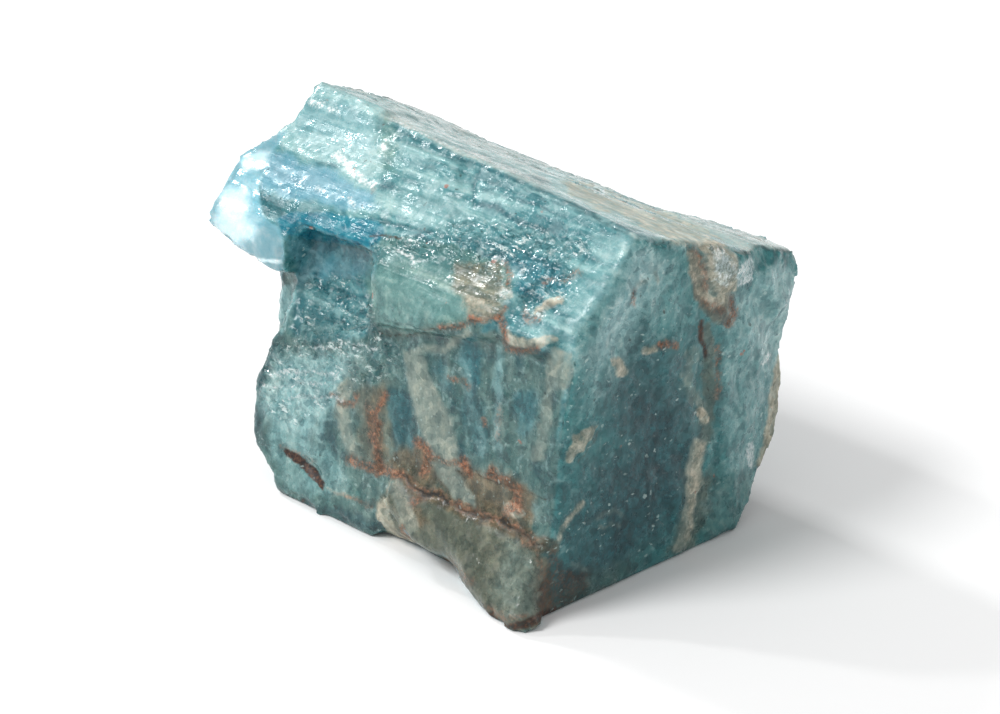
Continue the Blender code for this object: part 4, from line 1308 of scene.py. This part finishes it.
# Pale specks: partly pale dust, partly painted glints.
DUST_AND_GLINTS = Specks(srgb(196, 220, 216), (1.0, 0.6, 1.0), 2.8, 0.26, 0.38, (0.42, 0.60, 0.05, 0.36))
SOOT = Specks(srgb(36, 54, 54), (1.0, 1.0, 0.6), 1.7, 0.18, 0.26, (0.42, 0.58, 0.0, 0.75))
RUSTY_DOTS = Specks(srgb(162, 100, 80), (1.0, 1.0, 1.0), 0.8, 0.16, 0.12, (0.45, 0.55, 0.0, 0.8))


@dataclass(frozen=True)
class AquamarineFinish:
    """Beryl, see-through at its tip and clouded elsewhere, with veins and iron stains."""

    refraction: float = 1.577
    absorption: Colour = srgb(140, 232, 242)
    absorption_density: float = 45.0
    specular: float = 0.30
    tip_clearness: float = 0.5
    glow_clearness: float = 0.08
    body_clearness: float = 0.10
    scatter_share: float = 0.35
    scatter_depth: float = 0.9
    scatter_colours: Triple = (0.55, 1.0, 1.1)
    smoothest: float = 0.06
    bump_strength: float = 0.7
    bump_depth: float = 0.12
    # Each face's colours are partly the stone's own zoning and partly painted light and shade, as each face
    # meets the lamps differently.
    slope_stone: Stops = ((0.32, srgb(44, 104, 113)), (0.48, srgb(84, 144, 149)),
                          (0.66, srgb(148, 192, 191)))
    front_stone: Stops = ((0.37, srgb(38, 84, 89)), (0.5, srgb(72, 110, 107)), (0.63, srgb(126, 152, 145)))
    end_stone: Stops = ((0.34, srgb(44, 106, 109)), (0.5, srgb(64, 136, 138)), (0.68, srgb(104, 164, 162)))
    top_stone: Stops = ((0.3, srgb(150, 174, 171)), (0.5, srgb(172, 190, 186)), (0.7, srgb(208, 214, 206)))
    mottle: Stops = ((0.32, srgb(206, 212, 214)), (0.5, srgb(246, 247, 247)), (0.72, srgb(255, 255, 255)))
    planes: Stops = ((0.0, srgb(158, 180, 186)), (0.5, srgb(226, 234, 235)), (1.0, srgb(255, 255, 255)))
    veil: Colour = srgb(170, 202, 200)
    # Colour that convex edges are made paler with.
    edge_paling: Colour = srgb(184, 210, 208)
    # Colour of the painted shade in hollows.
    painted_hollow_shade: Colour = srgb(46, 80, 84)
    gloom: Colour = srgb(48, 92, 100)
    spark: Colour = srgb(222, 236, 233)

    def _place(self, graph: Graph) -> Socket:
        """The skin's place in millimetres."""
        coordinates = graph.node("ShaderNodeTexCoord")
        return graph.stretched(coordinates.outputs["Object"], (METRE, METRE, METRE))

    def _flow(self, graph: Graph, place: Socket, grain: Socket) -> Socket:
        """Streaks that run along the prism on its slopes, upright on its sides, and not on its end.

        Args:
            graph: The nodes.
            place: The skin's place.
            grain: Noise from 0 to 1, for the end.

        Returns:
            A number from 0 to 1.
        """
        along = graph.noise(graph.stretched(place, (0.075, 1.0, 1.0)), 1.3, 4.0, 0.52)
        upright = graph.noise(graph.stretched(place, (1.0, 1.0, 0.2)), 0.85, 4.0, 0.60)
        lengthwise = graph.most(graph.mask(Zone.SLOPE), graph.mask(Zone.TOP))
        broken = graph.times(graph.mask(Zone.END), 0.75)
        return graph.blend(broken, graph.blend(lengthwise, upright, along), grain)

    def _body_colour(self, graph: Graph, flow: Socket, cloud: Socket) -> Socket:
        """The colour of the stone, different on each face of the prism: partly its own zoning, partly
        painted light and shade.
        """
        side = graph.maths("ADD", graph.times(flow, 0.5), graph.times(cloud, 0.5))
        colour = graph.ramp(side, self.front_stone)
        faces = ((Zone.SLOPE, flow, self.slope_stone), (Zone.TOP, flow, self.top_stone),
                 (Zone.END, side, self.end_stone))
        for zone, noise, stone in faces:
            colour = graph.mixed(graph.mask(zone), colour, graph.ramp(noise, stone))
        return colour

    def _share(self, graph: Graph, wash: Wash, grain: Socket, fine: Socket, spots: Socket) -> Socket:
        """How much of a wash there is, with a broken border and a haze round it.

        Args:
            graph: The nodes.
            wash: The wash.
            grain: Noise from 0 to 1, for broad washes.
            fine: Finer noise, for thin ones.
            spots: The finest noise, which breaks thin washes into spots.

        Returns:
            The wash's share, from 0 to 1.
        """
        mask = graph.mask(wash.tone)
        push = graph.times(graph.maths("SUBTRACT", fine if wash.thin else grain, 0.5), wash.ragged)
        pushed = graph.maths("ADD", mask, push)
        held = graph.graded(pushed, 0.5 - wash.soft, 0.5 + wash.soft, 0.0, wash.body)
        held = graph.times(held, graph.graded(mask, 0.0, 0.25))
        if wash.spotted:
            held = graph.times(held, spots)
        return graph.maths("ADD", held, graph.times(mask, wash.haze), True)

    def _coloured(self, graph: Graph, place: Socket) -> tuple[Socket, Socket]:
        """The whole base colour.

        Args:
            graph: The nodes.
            place: The skin's place.

        Returns:
            The colour, and how much of an opaque coating there is.
        """
        pushed = graph.warped(place, 0.4, 1.6)
        grain = graph.noise(place, 1.3, 5.0, 0.70)
        flow = self._flow(graph, pushed, grain)
        cloud = graph.noise(pushed, 0.45, 4.0, 0.62)
        fine = graph.noise(place, 3.6, 3.0, 0.7)
        spots = graph.graded(graph.noise(place, 7.5, 2.0, 0.6), 0.38, 0.62, 0.4, 1.0)
        colour = self._body_colour(graph, flow, cloud)

        web = graph.cells(pushed, 0.40, "DISTANCE_TO_EDGE")
        veil = graph.graded(web.outputs["Distance"], 0.0, 0.09, 0.4, 0.0)
        veil = graph.times(veil, graph.graded(grain, 0.42, 0.62))
        colour = graph.mixed(veil, colour, self.veil)

        inner = graph.blend(0.55, grain, flow)
        shares: dict[Tone, Socket] = {}
        for wash in WASHES:
            shares[wash.tone] = self._share(graph, wash, grain, fine, spots)
            stops = ((0.36, wash.dark), (0.5, wash.middle), (0.64, wash.light))
            own = graph.ramp(fine if wash.thin else inner, stops)
            colour = graph.mixed(shares[wash.tone], colour, own)

        uncoated = graph.rest(shares[Tone.CLEAR])
        colour = self._broken(graph, place, colour, fine, uncoated)
        colour = self._speckled(graph, place, colour, grain, cloud, uncoated)
        # Convex edges are made paler in patches.
        edge_paling_share = graph.times(graph.mask(Zone.EDGE), graph.graded(grain, 0.45, 0.62, 0.0, 0.16))
        colour = graph.mixed(edge_paling_share, colour, self.edge_paling)
        # Painted shade: hollows are darkened.
        painted_hollow_shade = graph.times(graph.mask(Zone.HOLLOW), graph.graded(grain, 0.4, 0.65, 0.05, 0.4), uncoated)
        colour = graph.mixed(painted_hollow_shade, colour, self.painted_hollow_shade)
        opaque = (Tone.CREAM, Tone.RUST, Tone.UMBER, Tone.CHALK, Tone.CRACK)
        return colour, graph.most(*(shares[tone] for tone in opaque))

    def _broken(
        self, graph: Graph, place: Socket, colour: Socket, fine: Socket, uncoated: Socket
    ) -> Socket:
        """Darkens the colour unevenly, in specks and in the small planes of broken stone.

        Args:
            graph: The nodes.
            place: The skin's place.
            colour: The colour so far.
            fine: Noise from 0 to 1.
            uncoated: Where the stone isn't clear.

        Returns:
            The uneven colour.
        """
        dull = graph.times(uncoated, graph.blend(graph.mask(Zone.SLOPE), 0.7, 0.35))
        colour = graph.mixed(dull, colour, graph.ramp(fine, self.mottle), "MULTIPLY")
        tint = graph.node("ShaderNodeSeparateColor")
        graph.feed(tint.inputs[0], graph.cells(graph.warped(place, 1.1, 0.9), 1.6).outputs["Color"])
        planes = graph.ramp(tint.outputs[0], self.planes)
        smooth = graph.most(graph.mask(Zone.SLOPE), graph.mask(Zone.TOP))
        broken = graph.times(graph.rest(smooth), graph.times(uncoated, 0.75))
        return graph.mixed(broken, colour, planes, "MULTIPLY")

    def _speckled(
        self, graph: Graph, place: Socket, colour: Socket, grain: Socket, cloud: Socket, uncoated: Socket
    ) -> Socket:
        """Adds painted glints of tiny inner breaks, pale specks of dust and painted glints, dark specks and
        rusty dots.

        Args:
            graph: The nodes.
            place: The skin's place.
            colour: The colour so far.
            grain: Noise from 0 to 1.
            cloud: Broader noise, which gathers the glints.
            uncoated: Where the stone isn't clear.

        Returns:
            The speckled colour.
        """
        crumbly = graph.graded(graph.mask(Tone.GLINT), 0.25, 0.75)
        gloom = graph.times(crumbly, graph.graded(grain, 0.36, 0.56, 0.3, 0.0))
        colour = graph.mixed(gloom, colour, self.gloom)
        # Painted glints: bright sparks in the crumbled zones.
        shards = graph.noise(graph.stretched(place, (0.38, 1.0, 1.0)), 2.7, 3.0, 0.7)
        gathered = graph.graded(cloud, 0.46, 0.58, 0.15, 0.8)
        sparks = graph.times(graph.graded(shards, 0.56, 0.66), crumbly, gathered)
        colour = graph.mixed(sparks, colour, self.spark)
        bare = graph.maths("SUBTRACT", uncoated, graph.mask(Tone.MOSS), True)
        dust_and_glint_share = graph.times(graph.blend(graph.mask(Zone.END), 0.8, 1.6), bare)
        bent = graph.warped(place, 1.6, 0.7)
        kinds = ((DUST_AND_GLINTS, cloud, dust_and_glint_share), (SOOT, grain, uncoated), (RUSTY_DOTS, grain, uncoated))
        for specks, noise, where in kinds:
            spread = graph.stretched(bent, specks.stretch)
            spots = graph.flecks(spread, specks.scale, specks.radius, specks.share)
            held = graph.times(spots, graph.graded(noise, *specks.gate), where)
            colour = graph.mixed(held, colour, specks.colour)
        return colour

    def make(self) -> bpy.types.Material:
        """Builds the material.

        Returns:
            The material, with plain refraction and absorption values.
        """
        material = bpy.data.materials.new("aquamarine")
        material.use_nodes = True
        graph = Graph(material)
        place = self._place(graph)
        colour, coat = self._coloured(graph, place)
        patchy = graph.noise(place, 0.9, 3.0, 0.65)
        shader = graph.node("ShaderNodeBsdfPrincipled")
        plain = {
            "IOR": self.refraction,
            "Specular IOR Level": self.specular,
            "Subsurface Weight": self.scatter_share,
            "Subsurface Radius": self.scatter_colours,
            "Subsurface Scale": self.scatter_depth / METRE,
            "Base Color": colour,
            "Transmission Weight": self._clearness(graph, patchy, coat),
            "Roughness": self._roughness(graph, patchy, coat),
            "Normal": self._bump(graph, place),
        }
        for name, value in plain.items():
            graph.feed(shader.inputs[name], value)
        inside = graph.node("ShaderNodeVolumeAbsorption")
        inside.inputs["Color"].default_value = self.absorption
        inside.inputs["Density"].default_value = self.absorption_density
        output = graph.node("ShaderNodeOutputMaterial")
        graph.feed(output.inputs["Surface"], shader.outputs[0])
        graph.feed(output.inputs["Volume"], inside.outputs[0])
        return material

    def _clearness(self, graph: Graph, patchy: Socket, coat: Socket) -> Socket:
        """How see-through the stone is: most in the tip, and not at all under a coating."""
        body = graph.graded(patchy, 0.3, 0.7, self.body_clearness * 0.4, self.body_clearness * 1.5)
        tip = graph.graded(graph.mask(Tone.GLOW), 0.1, 0.9, self.tip_clearness, self.glow_clearness)
        clear = graph.times(graph.mask(Tone.CLEAR), tip)
        return graph.maths("MULTIPLY", graph.most(body, clear), graph.rest(coat), True)

    def _roughness(self, graph: Graph, patchy: Socket, coat: Socket) -> Socket:
        """How matt the stone is: coatings and the glow more, breaks and the clear tip less."""
        rough = graph.graded(patchy, 0.35, 0.68, 0.14, 0.42)
        changes = ((coat, 0.35), (graph.mask(Tone.GLINT), -0.10), (graph.mask(Tone.CLEAR), -0.24),
                   (graph.mask(Zone.END), 0.08), (graph.mask(Tone.GLOW), 0.22))
        for where, change in changes:
            rough = graph.maths("ADD", rough, graph.times(where, change))
        return graph.maths("MAXIMUM", rough, self.smoothest, True)

    def _bump(self, graph: Graph, place: Socket) -> Socket:
        """The finest relief: hair-thin growth lines, grain and tiny breaks."""
        lines = graph.noise(graph.stretched(place, (0.04, 1.0, 1.0)), 3.2, 2.0, 0.6)
        lengthwise = graph.most(graph.mask(Zone.SLOPE), graph.times(graph.mask(Zone.TOP), 0.5))
        lines = graph.times(lines, graph.times(lengthwise, 0.5))
        grain = graph.times(graph.noise(place, 3.0, 2.0, 0.6), 0.45)
        breaks = graph.cells(graph.stretched(place, (0.6, 1.0, 1.0)), 2.2)
        crumbly = graph.most(graph.mask(Tone.GLINT), graph.times(graph.mask(Zone.END), 0.35))
        broken = graph.times(breaks.outputs["Distance"], crumbly, 0.9)
        height = graph.maths("ADD", graph.maths("ADD", lines, grain), broken)
        smooth = graph.times(graph.most(graph.mask(Tone.SKY), graph.mask(Tone.PALE)), 0.55)
        smooth = graph.most(smooth, graph.times(graph.mask(Tone.CLEAR), 0.8))
        bump = graph.node("ShaderNodeBump")
        graph.feed(bump.inputs["Strength"], graph.times(graph.rest(smooth), self.bump_strength))
        bump.inputs["Distance"].default_value = self.bump_depth / METRE
        graph.feed(bump.inputs["Height"], height)
        return bump.outputs[0]


# ---- the crystal -----------------------------------------------------------


@dataclass
class Crystal:
    """The one piece: its skin in its finish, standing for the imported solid."""

    skin: CrystalSkin
    finish: AquamarineFinish

    def build(self) -> bpy.types.Object:
        """Makes the crystal and ties it to the frame.

        Returns:
            The crystal.
        """
        piece = self.skin.build()
        piece.name = "rough_crystal"
        piece.data.materials.append(self.finish.make())
        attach(piece, BODY)
        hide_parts(NODE)
        return piece


# ---- the studio ------------------------------------------------------------


@dataclass(frozen=True)
class Lamp:
    """A distant light."""

    name: str
    comes_from: tuple[float, float, float]
    strength: float
    spread: float
    tint: tuple[float, float, float] = (1.0, 1.0, 1.0)

    def make(self) -> None:
        """Hangs the lamp."""
        data = bpy.data.lights.new(self.name, "SUN")
        data.energy = self.strength
        data.angle = math.radians(self.spread)
        data.color = self.tint
        lamp = bpy.data.objects.new(self.name, data)
        lamp.rotation_euler = Vector(self.comes_from).to_track_quat("Z", "Y").to_euler()
        bpy.context.scene.collection.objects.link(lamp)


@dataclass
class Studio:
    """A pale floor, a white surround and soft lamps."""

    floor_reach: float = 6000.0
    floor_drop: float = 0.04
    floor_colour: tuple[float, float, float, float] = (0.93, 0.93, 0.93, 1.0)
    floor_roughness: float = 0.9
    surround: float = 0.55
    lamps: tuple[Lamp, ...] = (
        Lamp("key", (-0.35, -0.75, 0.95), 1.85, 24.0),
        Lamp("rim", (-0.85, 0.10, 0.60), 1.1, 8.0),
        Lamp("spark", (-0.74, -0.30, 0.60), 0.45, 4.0),
    )

    def build(self) -> None:
        """Sets the floor, the surround and the lamps."""
        bpy.ops.mesh.primitive_circle_add(
            vertices=96,
            radius=self.floor_reach / METRE,
            fill_type="NGON",
            location=(0.0, 0.0, -self.floor_drop / METRE),
        )
        floor = bpy.context.object
        floor.name = "floor"
        material = bpy.data.materials.new("floor")
        material.use_nodes = True
        shader = material.node_tree.nodes["Principled BSDF"]
        shader.inputs["Base Color"].default_value = self.floor_colour
        shader.inputs["Roughness"].default_value = self.floor_roughness
        floor.data.materials.append(material)
        world = bpy.data.worlds.new("surround")
        world.use_nodes = True
        sky = world.node_tree.nodes["Background"]
        sky.inputs["Color"].default_value = (1.0, 1.0, 1.0, 1.0)
        sky.inputs["Strength"].default_value = self.surround
        bpy.context.scene.world = world
        for lamp in self.lamps:
            lamp.make()
        view = bpy.context.scene.view_settings
        view.view_transform = "Standard"
        view.look = "None"


def main() -> None:
    """Builds the studio, the camera and the crystal, in that order."""
    logging.basicConfig(level=logging.INFO, format="%(name)s: %(message)s")
    viewpoint = Viewpoint()
    viewpoint.make_camera()
    Studio().build()
    LOG.info("studio ready")
    crystal = Crystal(CrystalSkin(viewpoint), AquamarineFinish()).build()
    LOG.info("%s: %d materials", crystal.name, len(crystal.data.materials))


if __name__ == "__main__":
    main()
